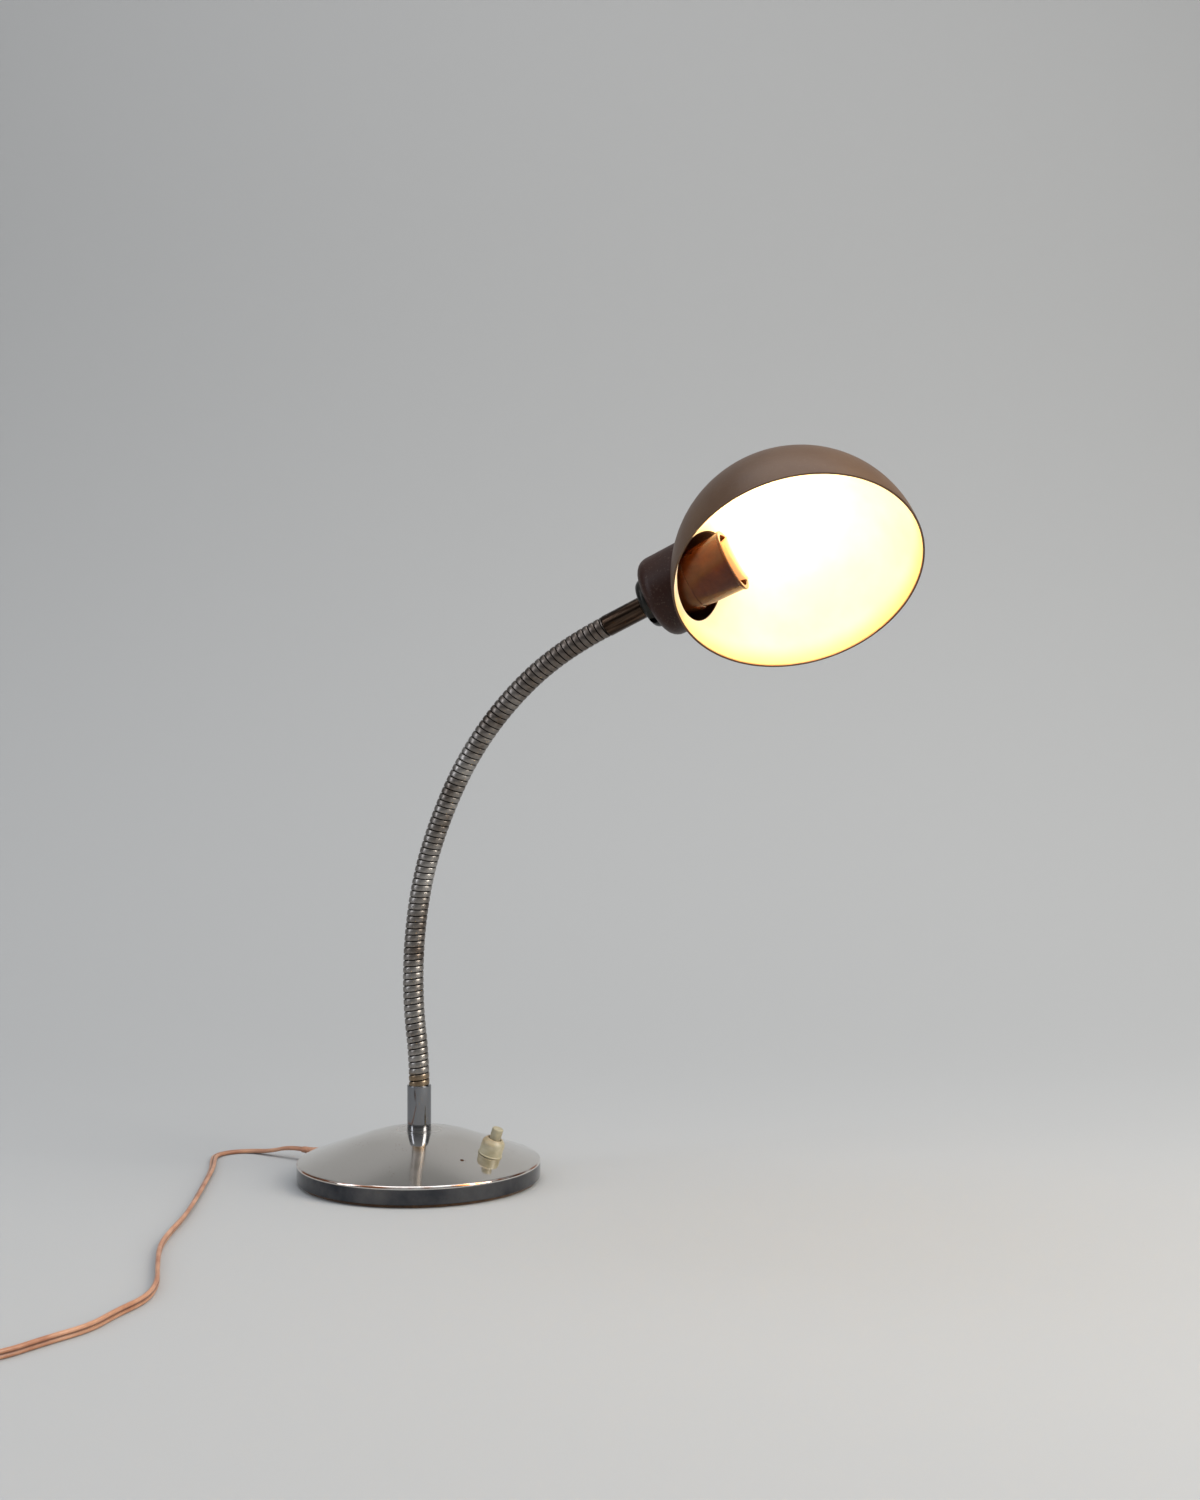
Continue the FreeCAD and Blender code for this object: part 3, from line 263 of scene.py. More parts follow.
def spline_object(name, points, order, cyclic):
    """A curve object of one NURBS spline through control points."""
    curve = bpy.data.curves.new(name, "CURVE")
    curve.dimensions = "3D"
    spline = curve.splines.new("NURBS")
    spline.points.add(len(points) - 1)
    for place, point in zip(spline.points, points):
        place.co = (*point, 1)
    spline.order_u = order
    spline.use_endpoint_u = not cyclic
    spline.use_cyclic_u = cyclic
    curve.resolution_u = 6
    holder = bpy.data.objects.new(name, curve)
    bpy.context.scene.collection.objects.link(holder)
    return holder


def evaluated_mesh(holder):
    """Mesh of an object with its bevel or modifiers applied."""
    bpy.context.view_layer.update()
    graph = bpy.context.evaluated_depsgraph_get()
    return bpy.data.meshes.new_from_object(holder.evaluated_get(graph), depsgraph=graph)


lead_line = spline_object("lead_line", route, 3, False)
lead_path = [v.co.copy() for v in evaluated_mesh(lead_line).vertices]

# The section is two lobes with a web between them
lobe = flex_thickness / 2
lobe_shift = flex_width / 2 - lobe
half_web = math.asin(flex_web / flex_thickness)
section = []
half_steps = 6
for side in (1, -1):
    for k in range(2 * half_steps + 1):
        angle = (math.pi - half_web) * (k / half_steps - 1)
        section.append((side * (lobe_shift + lobe * math.cos(angle)), side * lobe * math.sin(angle), 0))
section_line = bpy.data.objects.new("section_line", bpy.data.curves.new("section_line", "CURVE"))
section_spline = section_line.data.splines.new("POLY")
section_spline.points.add(len(section) - 1)
for place, point in zip(section_spline.points, section):
    place.co = (*point, 1)
section_spline.use_cyclic_u = True
bpy.context.scene.collection.objects.link(section_line)
lead_line.data.bevel_mode = "OBJECT"
lead_line.data.bevel_object = section_line
lead_line.data.use_fill_caps = True
lead_line.data.twist_mode = "Z_UP"
for place, tilt in zip(lead_line.data.splines[0].points, tilts):
    place.tilt = tilt
lead_mesh = evaluated_mesh(lead_line)
for spare in (lead_line, section_line):
    bpy.data.objects.remove(spare)


def copper_pvc():
    """Plasticised PVC, extruded: satin, dulled by handling, with painted shade in the groove between its cores."""
    material, tree, shader = new_finish("copper_pvc_flex", Roughness=0.42, Coat_Weight=0.12,
                                        Coat_Roughness=0.35)
    place = add_node(tree, "ShaderNodeTexCoord").outputs["Object"]
    dirt = add_node(tree, "ShaderNodeTexNoise", {"Vector": place, "Scale": 60.0, "Detail": 4.0})
    tone = add_node(tree, "ShaderNodeValToRGB", {0: dirt.outputs["Fac"]},
                    stops=((0.3, "a2694b"), (0.7, "cd9c7c")))
    # The crease between the two cores is darkened towards 3d2114: painted shade.
    groove = add_node(tree, "ShaderNodeAttribute", attribute_name="groove").outputs["Fac"]
    groove_shade = add_node(tree, "ShaderNodeMath", {0: groove, 1: 0.8}, operation="MULTIPLY", use_clamp=True)
    groove_shaded = add_node(tree, "ShaderNodeMix", {0: groove_shade.outputs[0], 6: tone.outputs[0], 7: colour("3d2114")},
                     data_type="RGBA")
    tree.links.new(groove_shaded.outputs[2], shader.inputs["Base Color"])
    skin = add_node(tree, "ShaderNodeTexNoise", {"Vector": place, "Scale": 900.0, "Detail": 2.0})
    bump = add_node(tree, "ShaderNodeBump",
                    {"Height": skin.outputs["Fac"], "Strength": 0.08, "Distance": 0.0004})
    tree.links.new(bump.outputs[0], shader.inputs["Normal"])
    return material


lead_finish = copper_pvc()
bm = bmesh.new()
bm.from_mesh(lead_mesh)
# groove: how far into the crease between the cores a point lies, for the painted shade there.
groove_reach = 0.75 * lobe_shift
groove_layer = bm.verts.layers.float.new("groove")
for k, vert in enumerate(bm.verts):
    across = abs(section[k % len(section)][0])
    vert[groove_layer] = max(1 - across / groove_reach, 0)
bmesh.ops.remove_doubles(bm, verts=bm.verts[:], dist=1e-6)
bmesh.ops.recalc_face_normals(bm, faces=bm.faces[:])
lead = to_scene(bm, "mains_flex", lead_finish)
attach(lead, "base")
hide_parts("mains_cord", "cord_coil")

# Base: a spun steel shell, polished and chromed, over an iron weight. Age has dulled the crown a little,
# left fine swirls from wiping and a few pits of rust, and worn its edge; the rim below has a painted dark
# reflection.
crown_height = 32 * MM
crown_radius = 25 * MM
rim_height = 13 * MM
rim_low = 2.2 * MM
sheet_wall = 1.0 * MM
crown_blend = 5.5 * MM
rim_edge = 1.1 * MM
stem_hole = 5.2 * MM
rust_speck = (0.0429, -0.0315, 0.0218)
speck_size = 2.3 * MM
crown_haze_start = 12 * MM
crown_haze_end = 26 * MM
worn_core = 0.2 * MM
worn_reach = 0.7 * MM
painted_rim_start = 0.8 * MM
painted_rim_full = 1.4 * MM


def turned(outline, steps=192):
    """Closed skin turned about Z from a closed outline of (radius, height) or (radius, height, rounding)."""
    bm = bmesh.new()
    ring = [bm.verts.new((corner[0], 0, corner[1])) for corner in outline]
    for here, following in zip(ring, ring[1:] + ring[:1]):
        bm.edges.new((here, following))
    for vert, corner in zip(ring, outline):
        if len(corner) > 2:
            bmesh.ops.bevel(bm, geom=[vert], offset=corner[2], segments=7, profile=0.5, affect="VERTICES",
                            material=-1)
    bmesh.ops.spin(bm, geom=bm.verts[:] + bm.edges[:], cent=(0, 0, 0), axis=(0, 0, 1), angle=2 * math.pi,
                   steps=steps, use_merge=True, use_duplicate=False, dvec=(0, 0, 0))
    bmesh.ops.remove_doubles(bm, verts=bm.verts[:], dist=1e-6)
    bmesh.ops.recalc_face_normals(bm, faces=bm.faces[:])
    return bm


def old_chrome(name, dull, crown_dull, scale, plate, worn_level=None):
    """Chromium plate on polished steel: a grey mirror with pits of rust, and hazier near the stem.

    At worn_level the plate has gone through to the copper, and below it the rim has a painted dark reflection,
    mottled a little.
    """
    material, tree, shader = new_finish(name, Metallic=1.0)
    place = add_node(tree, "ShaderNodeTexCoord").outputs["Object"]
    haze = add_node(tree, "ShaderNodeTexNoise", {"Vector": place, "Scale": 22.0 * scale, "Detail": 6.0,
                                                 "Roughness": 0.65})
    gloss = add_node(tree, "ShaderNodeMapRange", {0: haze.outputs["Fac"], 1: 0.35, 2: 0.75, 3: dull * 0.55,
                                                  4: dull * 1.5})
    flat_place = add_node(tree, "ShaderNodeVectorMath", {0: place, 1: (1, 1, 0)}, operation="MULTIPLY")
    from_stem = add_node(tree, "ShaderNodeVectorMath", {0: flat_place.outputs[0]}, operation="LENGTH")
    crown_haze = add_node(tree, "ShaderNodeMapRange", {0: from_stem.outputs["Value"], 1: crown_haze_start,
                                                       2: crown_haze_end, 3: crown_dull, 4: 0.0})
    dulled = add_node(tree, "ShaderNodeMath", {0: gloss.outputs[0], 1: crown_haze.outputs[0]},
                      operation="ADD")
    tree.links.new(dulled.outputs[0], shader.inputs["Roughness"])
    pits = add_node(tree, "ShaderNodeTexVoronoi", {"Vector": place, "Scale": 420.0, "Randomness": 1.0})
    patches = add_node(tree, "ShaderNodeTexNoise", {"Vector": place, "Scale": 60.0 * scale, "Detail": 3.0})
    reach = add_node(tree, "ShaderNodeMapRange",
                     {0: patches.outputs["Fac"], 1: 0.5, 2: 0.72, 3: 0.06, 4: 0.2})
    pit = add_node(tree, "ShaderNodeMath", {0: pits.outputs["Distance"], 1: reach.outputs[0]},
                   operation="LESS_THAN")
    rust = add_node(tree, "ShaderNodeMath", {0: pit.outputs[0], 1: 0.55}, operation="MULTIPLY")
    tone = add_node(tree, "ShaderNodeMix", {0: rust.outputs[0], 6: colour(plate), 7: colour("8a6a4c")},
                    data_type="RGBA").outputs[2]
    if worn_level is not None:
        level = add_node(tree, "ShaderNodeSeparateXYZ", {0: place})
        away = add_node(tree, "ShaderNodeMath", {0: level.outputs["Z"], 1: worn_level}, operation="SUBTRACT")
        off = add_node(tree, "ShaderNodeMath", {0: away.outputs[0]}, operation="ABSOLUTE")
        edge = add_node(tree, "ShaderNodeMapRange", {0: off.outputs[0], 1: worn_core, 2: worn_reach, 3: 1.0,
                                                     4: 0.0})
        streak = add_node(tree, "ShaderNodeMapRange", {0: patches.outputs["Fac"], 1: 0.4, 2: 0.56})
        worn = add_node(tree, "ShaderNodeMath", {0: edge.outputs[0], 1: streak.outputs[0]},
                        operation="MULTIPLY")
        # Below the worn edge the straight rim is painted near black: a painted dark reflection, mottled by the
        # haze noise.
        band = add_node(tree, "ShaderNodeMapRange", {0: away.outputs[0], 1: -painted_rim_full,
                                                     2: -painted_rim_start, 3: 0.94, 4: 0.0})
        reflection_mottle = add_node(tree, "ShaderNodeMapRange",
                         {0: haze.outputs["Fac"], 1: 0.3, 2: 0.7, 3: 1.06, 4: 0.9})
        painted_rim_reflection = add_node(tree, "ShaderNodeMath", {0: band.outputs[0], 1: reflection_mottle.outputs[0]},
                             operation="MULTIPLY")
        tone = add_node(tree, "ShaderNodeMix", {0: painted_rim_reflection.outputs[0], 6: tone, 7: colour("262a33")},
                        data_type="RGBA").outputs[2]
        tone = add_node(tree, "ShaderNodeMix", {0: worn.outputs[0], 6: tone, 7: colour("a8663c")},
                        data_type="RGBA").outputs[2]
        speck = add_node(tree, "ShaderNodeVectorMath", {0: place, 1: rust_speck}, operation="DISTANCE")
        spot = add_node(tree, "ShaderNodeMath", {0: patches.outputs["Fac"], 1: speck_size},
                        operation="MULTIPLY")
        inside = add_node(tree, "ShaderNodeMath", {0: speck.outputs["Value"], 1: spot.outputs[0]},
                          operation="LESS_THAN")
        tone = add_node(tree, "ShaderNodeMix", {0: inside.outputs[0], 6: tone, 7: colour("74492f")},
                        data_type="RGBA").outputs[2]
    tree.links.new(tone, shader.inputs["Base Color"])
    swirl = add_node(tree, "ShaderNodeTexNoise", {"Vector": place, "Scale": 1400.0, "Detail": 2.0})
    bump = add_node(tree, "ShaderNodeBump",
                    {"Height": swirl.outputs["Fac"], "Strength": 0.05, "Distance": 0.0002})
    tree.links.new(bump.outputs[0], shader.inputs["Normal"])
    return material


chrome = old_chrome("old_chrome_plate", 0.085, 0.22, 1.0, "e4dfd9", rim_height - 0.4 * MM)
slope = (crown_height - rim_height) / (base_radius - crown_radius)
shell_outline = [(stem_hole, crown_height), (crown_radius, crown_height, crown_blend * 2),
                 (base_radius, rim_height, rim_edge), (base_radius, rim_low, 0.4 * MM),
                 (base_radius - sheet_wall, rim_low), (base_radius - sheet_wall, rim_height - sheet_wall),
                 (crown_radius - sheet_wall * slope, crown_height - sheet_wall),
                 (stem_hole, crown_height - sheet_wall)]
shell = to_scene(turned(shell_outline, 256), "base_dish", chrome)
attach(shell, "base")
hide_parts("base_shell")

# Stem sleeve: a short length of polished tube, chromed, that covers the threaded tube between the base
# and the gooseneck. Its ends are faced square, with the edges just broken.
sleeve_top = 60.5 * MM
sleeve_radius = 7.65 * MM
sleeve_bore = 5.3 * MM
# The tube's plate tone is far darker than the base's: a painted dark reflection.
tube_chrome = old_chrome("old_chrome_tube_painted_dark", 0.1, 0.0, 1.4, "818285")
sleeve = to_scene(turned([(sleeve_bore, crown_height), (sleeve_radius, crown_height, 0.3 * MM),
                          (sleeve_radius, sleeve_top, 0.45 * MM), (sleeve_bore, sleeve_top)], 128),
                  "sleeve", tube_chrome)
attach(sleeve, "base")
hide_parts("stem_sleeve")

# Gooseneck: a strip wound hose of nickel plated steel. Each turn is a rounded band hooked into the next,
# with the colour going near black deep between them, and the winding rises to the right as it faces you.
bend_joints = [j for j in frame["joints"] if j["name"].startswith("neck_")]
neck_marks = [Vector((0, 0, sleeve_top))] + [Vector(j["pos_m"]) for j in bend_joints]
neck_marks.append(Vector(next(j for j in frame["joints"] if j["name"] == "head_swivel")["pos_m"]))
neck_turns = 84
points_round = 40
hose_radius = 6.6 * MM
groove_radius = 5.75 * MM
top_darkening_start = 260 * MM
top_darkening_end = 350 * MM


def neck_arcs(marks):
    """Arcs through the marks, tangent to each other: start, lean at the start, lean at the end, length."""
    arcs, lean = [], 0.0
    for low, high in zip(marks, marks[1:]):
        chord = high - low
        after = 2 * math.atan2(chord.x, chord.z) - lean
        half = (after - lean) / 2
        arcs.append((low, lean, after, chord.length * half / math.sin(half)))
        lean = after
    return arcs


arcs = neck_arcs(neck_marks)
arc_ends = [0.0]
for arc in arcs:
    arc_ends.append(arc_ends[-1] + arc[3])
neck_length = arc_ends[-1]
pitch = neck_length / neck_turns


def on_neck(distance):
    """Point of the neck's centreline, its direction, and the direction across it in the bend's plane."""
    index = min(sum(distance > end for end in arc_ends[1:]), len(arcs) - 1)
    start, lean, after, length = arcs[index]
    turn = (after - lean) / length
    run = distance - arc_ends[index]
    now = lean + turn * run
    aside = (math.cos(lean) - math.cos(now)) / turn
    up = (math.sin(now) - math.sin(lean)) / turn
    point = start + Vector((aside, 0, up))
    return point, Vector((math.sin(now), 0, math.cos(now))), Vector((math.cos(now), 0, -math.sin(now)))


def wound_hose():
    """Straight hose about Z: one turn of its profile, spun with a rise of one pitch, stacked by doubling."""
    profile = ((0.0, 0.0), (0.06, 0.0), (0.09, 0.5), (0.14, 0.8), (0.25, 0.95), (0.45, 1.0), (0.68, 0.98),
               (0.84, 0.9), (0.93, 0.7), (0.98, 0.2), (1.0, 0.0))
    depth = hose_radius - groove_radius
    bm = bmesh.new()
    line = [bm.verts.new((groove_radius + depth * rise, 0, pitch * (along - 1))) for along, rise in profile]
    for low, high in zip(line, line[1:]):
        bm.edges.new((low, high))
    bmesh.ops.spin(bm, geom=bm.verts[:] + bm.edges[:], cent=(0, 0, 0), axis=(0, 0, 1), angle=2 * math.pi,
                   steps=points_round, use_merge=False, use_duplicate=False,
                   dvec=(0, 0, pitch / points_round))
    stacked = 1
    while stacked < neck_turns + 2:
        copies = bmesh.ops.duplicate(bm, geom=bm.verts[:] + bm.edges[:] + bm.faces[:])["geom"]
        bmesh.ops.translate(bm, verts=[v for v in copies if isinstance(v, bmesh.types.BMVert)],
                            vec=(0, 0, pitch * stacked))
        stacked *= 2
    bmesh.ops.bisect_plane(bm, geom=bm.verts[:] + bm.edges[:] + bm.faces[:], dist=1e-7,
                           plane_co=(0, 0, neck_length), plane_no=(0, 0, 1), clear_outer=True)
    bmesh.ops.remove_doubles(bm, verts=bm.verts[:], dist=2e-6)
    bmesh.ops.recalc_face_normals(bm, faces=bm.faces[:])
    return bm


def hose_finish():
    """Nickel plate gone brown: bright crowns, tarnish beside them, near black deep in the grooves, darker at the
    top.
    """
    material, tree, shader = new_finish("tarnished_nickel_hose", Metallic=1.0)
    place = add_node(tree, "ShaderNodeTexCoord").outputs["Object"]
    crown = add_node(tree, "ShaderNodeAttribute", attribute_name="crown").outputs["Fac"]
    tarnish = add_node(tree, "ShaderNodeTexNoise", {"Vector": place, "Scale": 45.0, "Detail": 5.0,
                                                    "Roughness": 0.6})
    metal = add_node(tree, "ShaderNodeValToRGB", {0: tarnish.outputs["Fac"]},
                     stops=((0.32, "5f544b"), (0.68, "aca8a3")))
    share = add_node(tree, "ShaderNodeMapRange", {0: crown, 1: 0.1, 2: 0.7})
    level = add_node(tree, "ShaderNodeSeparateXYZ", {0: place})
    foot = add_node(tree, "ShaderNodeMapRange", {0: level.outputs["Z"], 1: sleeve_top + 1.6 * pitch,
                                                 2: sleeve_top + 2.2 * pitch, 3: 0.5, 4: 0.0})
    brassy = add_node(tree, "ShaderNodeMix", {0: foot.outputs[0], 6: metal.outputs[0], 7: colour("8f6f3d")},
                      data_type="RGBA")
    # The hose goes browner and darker towards the top of the neck.
    top_darkening = add_node(tree, "ShaderNodeMapRange", {0: level.outputs["Z"], 1: top_darkening_start, 2: top_darkening_end, 3: 0.0,
                                                 4: 0.7})
    darkened_top = add_node(tree, "ShaderNodeMix", {0: top_darkening.outputs[0], 6: brassy.outputs[2], 7: colour("4c3c31")},
                       data_type="RGBA")
    # The colour goes near black deep in the grooves and keeps the metal's tone on the crowns.
    tone = add_node(tree, "ShaderNodeMix", {0: share.outputs[0], 6: colour("0e0a07"), 7: darkened_top.outputs[2]},
                    data_type="RGBA")
    tree.links.new(tone.outputs[2], shader.inputs["Base Color"])
    fine = add_node(tree, "ShaderNodeTexNoise", {"Vector": place, "Scale": 700.0, "Detail": 3.0})
    rough = add_node(tree, "ShaderNodeMapRange", {0: fine.outputs["Fac"], 3: 0.26, 4: 0.46})
    tree.links.new(rough.outputs[0], shader.inputs["Roughness"])
    bump = add_node(tree, "ShaderNodeBump",
                    {"Height": fine.outputs["Fac"], "Strength": 0.12, "Distance": 0.0002})
    tree.links.new(bump.outputs[0], shader.inputs["Normal"])
    return material


hose_metal = hose_finish()
straight = wound_hose()
middles = [(low + high) / 2 for low, high in zip(arc_ends[1:], arc_ends[2:])]
cuts = [0.0] + middles[:-1] + [neck_length]
for k, (low, high) in enumerate(zip(cuts, cuts[1:]), start=1):
    bm = straight.copy()
    for level, side in ((low, -1), (high, 1)):
        bmesh.ops.bisect_plane(bm, geom=bm.verts[:] + bm.edges[:] + bm.faces[:], dist=1e-7,
                               plane_co=(0, 0, level), plane_no=(0, 0, side), clear_outer=True)
    bmesh.ops.holes_fill(bm, edges=[e for e in bm.edges if e.is_boundary], sides=0)
    crown_layer = bm.verts.layers.float.new("crown")
    for vert in bm.verts:
        out = math.hypot(vert.co.x, vert.co.y)
        vert[crown_layer] = (out - groove_radius) / (hose_radius - groove_radius)
        point, _, across = on_neck(vert.co.z)
        vert.co = point + across * vert.co.x + Vector((0, vert.co.y, 0))
    bmesh.ops.recalc_face_normals(bm, faces=bm.faces[:])
    hose = to_scene(bm, "hose_%d" % k, hose_metal)
    lean = arcs[k][1]
    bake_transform(hose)
    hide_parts("neck_link_%d" % k, "neck_leads_%d" % k)
    if k == 1:
        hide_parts("neck_link_0", "neck_leads_0")
straight.free()

# Head frame: everything past the gooseneck is turned about the neck's last direction. The shade's open
# side faces down and towards the viewer, a little less than half of the way round.
head_origin, head_heading, head_across = on_neck(neck_length)
opening_roll = math.radians(36.6)
head_out = head_across * math.cos(opening_roll) - Vector((0, math.sin(opening_roll), 0))
head_side = head_heading.cross(head_out)
head_place = Matrix((head_out, head_side, head_heading)).transposed().to_4x4()
head_place.translation = head_origin


def on_head(bm):
    """Move a mesh made about Z, from the end of the neck, to its place on the head."""
    bmesh.ops.transform(bm, matrix=head_place, verts=bm.verts[:])
    return bm


# Ferrule: turned brass, chemically bronzed almost black and rubbed brown on its edges, with fine lines
# drawn along it. It screws on the end of the hose and holds the threaded nipple.
ferrule_length = 27.0 * MM
ferrule_radius = 6.8 * MM
ferrule_bore = 5.3 * MM


def bronzed_brass():
    """Oxidised brass: dark brown skin with warm metal showing through in fine lengthwise lines."""
    material, tree, shader = new_finish("bronzed_brass", Metallic=1.0, Roughness=0.27)
    place = add_node(tree, "ShaderNodeTexCoord").outputs["Object"]
    turned_place = add_node(tree, "ShaderNodeMapping", {0: place}, vector_type="TEXTURE")
    turned_place.inputs["Rotation"].default_value = head_place.to_euler()
    lines = add_node(tree, "ShaderNodeMapping", {0: turned_place.outputs[0], "Scale": (1.0, 1.0, 0.06)})
    grain = add_node(tree, "ShaderNodeTexNoise", {"Vector": lines.outputs[0], "Scale": 520.0, "Detail": 3.0})
    tone = add_node(tree, "ShaderNodeValToRGB", {0: grain.outputs["Fac"]},
                    stops=((0.4, "2a1e17"), (0.66, "5e4d40")))
    tree.links.new(tone.outputs[0], shader.inputs["Base Color"])
    bump = add_node(tree, "ShaderNodeBump",
                    {"Height": grain.outputs["Fac"], "Strength": 0.15, "Distance": 0.0002})
    tree.links.new(bump.outputs[0], shader.inputs["Normal"])
    return material


ferrule_outline = [(ferrule_bore, 0), (ferrule_radius, 0, 1.3 * MM),
                   (ferrule_radius, ferrule_length, 0.3 * MM), (ferrule_bore, ferrule_length)]
ferrule = to_scene(on_head(turned(ferrule_outline, 96)), "ferrule", bronzed_brass())
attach(ferrule, "neck_8")
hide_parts("top_ferrule")

# Collar: a turned disc, nickel plated and gone dull and dark, that clamps the head on the neck. A grub
# screw sits deep in a hole in its edge.
collar_low = ferrule_length + 0.3 * MM
collar_length = 6.9 * MM
collar_radius = 15.85 * MM
collar_lip = 1.2 * MM
collar_shoulder = 2.4 * MM
nipple_bore = 5.05 * MM
cup_low = collar_low + collar_length
screw_height = cup_low - collar_length * 0.42
screw_hole = 2.5 * MM
screw_seat = 6.5 * MM


def dull_nickel():
    """Old nickel plate: dark grey of low gloss, cloudy where the plate has dulled unevenly."""
    material, tree, shader = new_finish("dull_nickel", Metallic=0.85)
    place = add_node(tree, "ShaderNodeTexCoord").outputs["Object"]
    cloud = add_node(tree, "ShaderNodeTexNoise",
                     {"Vector": place, "Scale": 120.0, "Detail": 5.0, "Roughness": 0.6})
    tone = add_node(tree, "ShaderNodeValToRGB", {0: cloud.outputs["Fac"]},
                    stops=((0.3, "1e1d1b"), (0.7, "383632")))
    tree.links.new(tone.outputs[0], shader.inputs["Base Color"])
    rough = add_node(tree, "ShaderNodeMapRange", {0: cloud.outputs["Fac"], 3: 0.26, 4: 0.42})
    tree.links.new(rough.outputs[0], shader.inputs["Roughness"])
    return material


def cut_away(piece, cutter_bm):
    """Take a cutter's shape out of a piece, and give the piece the mesh that is left."""
    cutter = to_scene(cutter_bm, "cutter")
    cut = piece.modifiers.new("cut", "BOOLEAN")
    cut.operation = "DIFFERENCE"
    cut.solver = "EXACT"
    cut.object = cutter
    mesh = evaluated_mesh(piece)
    piece.modifiers.remove(cut)
    bpy.data.objects.remove(cutter)
    bm = bmesh.new()
    bm.from_mesh(mesh)
    bmesh.ops.remove_doubles(bm, verts=bm.verts[:], dist=1e-6)
    smooth_but_for_corners(bm)
    bm.to_mesh(piece.data)
    bm.free()


def peg(radius, low, high, segments=48):
    """Round bar about Z between two heights."""
    bm = bmesh.new()
    bmesh.ops.create_cone(bm, cap_ends=True, segments=segments, radius1=radius, radius2=radius,
                          depth=high - low)
    bmesh.ops.translate(bm, verts=bm.verts[:], vec=(0, 0, (low + high) / 2))
    return bm


collar_outline = [(nipple_bore, collar_low), (ferrule_radius + collar_lip, collar_low, 0.8 * MM),
                  (collar_radius, collar_low + collar_shoulder, 3.0 * MM), (collar_radius, cup_low, 0.6 * MM),
                  (nipple_bore, cup_low)]
collar = to_scene(on_head(turned(collar_outline, 144)), "collar_disc", dull_nickel())
hole = peg(screw_hole, screw_seat, collar_radius + 3 * MM)
bmesh.ops.rotate(hole, verts=hole.verts[:], cent=(0, 0, 0), matrix=Matrix.Rotation(math.pi / 2, 3, "Y"))
bmesh.ops.translate(hole, verts=hole.verts[:], vec=(0, 0, screw_height))
cut_away(collar, on_head(hole))
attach(collar, "head")
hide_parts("collar")

# Cup: a deep drawn steel cup in dark brown stove enamel. Its rounded back sits on the collar, and its
# mouth is scribed to the shade's outside and rolled tight against it.
cup_radius = 25.7 * MM
cup_wall = 1.4 * MM
cup_floor = 2.0 * MM
cup_round = 8.3 * MM
shade_radius = 75 * MM
shade_wall = 1.2 * MM
shade_along = 125.5 * MM
axis_above_opening = 38.2 * MM
shade_seat = shade_radius + 0.05 * MM


def stove_enamel(name, dark, light, gloss, grain):
    """Baked enamel over steel: even, softly glossy, with a faint orange peel and dust in its sheen."""
    material, tree, shader = new_finish(name, Specular_IOR_Level=0.25)
    place = add_node(tree, "ShaderNodeTexCoord").outputs["Object"]
    cloud = add_node(tree, "ShaderNodeTexNoise",
                     {"Vector": place, "Scale": 24.0, "Detail": 6.0, "Roughness": 0.6})
    tone = add_node(tree, "ShaderNodeValToRGB", {0: cloud.outputs["Fac"]},
                    stops=((0.3, dark), (0.7, light)))
    speck = add_node(tree, "ShaderNodeTexNoise", {"Vector": place, "Scale": 800.0, "Detail": 2.0})
    chips = add_node(tree, "ShaderNodeMapRange", {0: speck.outputs["Fac"], 1: 0.6, 2: 0.7, 3: 0.0, 4: 0.3})
    worn = add_node(tree, "ShaderNodeMix", {0: chips.outputs[0], 6: tone.outputs[0], 7: colour("6d5c4e")},
                    data_type="RGBA")
    tree.links.new(worn.outputs[2], shader.inputs["Base Color"])
    rough = add_node(tree, "ShaderNodeMapRange", {0: cloud.outputs["Fac"], 3: gloss * 0.85, 4: gloss * 1.2})
    tree.links.new(rough.outputs[0], shader.inputs["Roughness"])
    peel = add_node(tree, "ShaderNodeTexNoise", {"Vector": place, "Scale": grain, "Detail": 2.0})
    bump = add_node(tree, "ShaderNodeBump",
                    {"Height": peel.outputs["Fac"], "Strength": 0.22, "Distance": 0.0003})
    tree.links.new(bump.outputs[0], shader.inputs["Normal"])
    return material


brown_enamel = stove_enamel("brown_stove_enamel", "2a120a", "371a0e", 0.4, 500.0)
cup_bore = cup_radius - cup_wall
cup_outline = [(nipple_bore, cup_low), (cup_radius, cup_low, cup_round), (cup_radius, shade_along),
               (cup_bore, shade_along), (cup_bore, cup_low + cup_floor, cup_round - cup_wall),
               (nipple_bore, cup_low + cup_floor)]
bm = turned(cup_outline, 192)

# The mouth is made flat at the shade's middle, and then pulled back to the shade's skin
for vert in bm.verts:
    if vert.co.z > shade_along - 1e-6:
        away = math.hypot(vert.co.x - axis_above_opening, vert.co.y)
        vert.co.z = shade_along - math.sqrt(shade_seat ** 2 - away ** 2)
cup = to_scene(on_head(bm), "cup", brown_enamel)
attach(cup, "head")
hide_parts("socket_cup")

# Lampholder: brown bakelite in two screwed halves, with a thin line where they meet and a small lip at
# the mouth. Years of heat have polished it, and it mirrors the bright shade round it.
holder_mouth = 90.0 * MM
skirt_length = 28.0 * MM
skirt_low = holder_mouth - skirt_length
holder_low = cup_low + cup_floor + 3.0 * MM
holder_cap_radius = 17.9 * MM
skirt_radius = 18.9 * MM
skirt_lip_radius = 19.6 * MM
skirt_lip_width = 1.6 * MM
holder_wall = 2.0 * MM
joint_step = 0.5 * MM
cap_neck_radius = 9 * MM
cap_neck_end = holder_low + 5 * MM
cap_inside = holder_low + 6 * MM
cap_shoulder = holder_low + 8 * MM


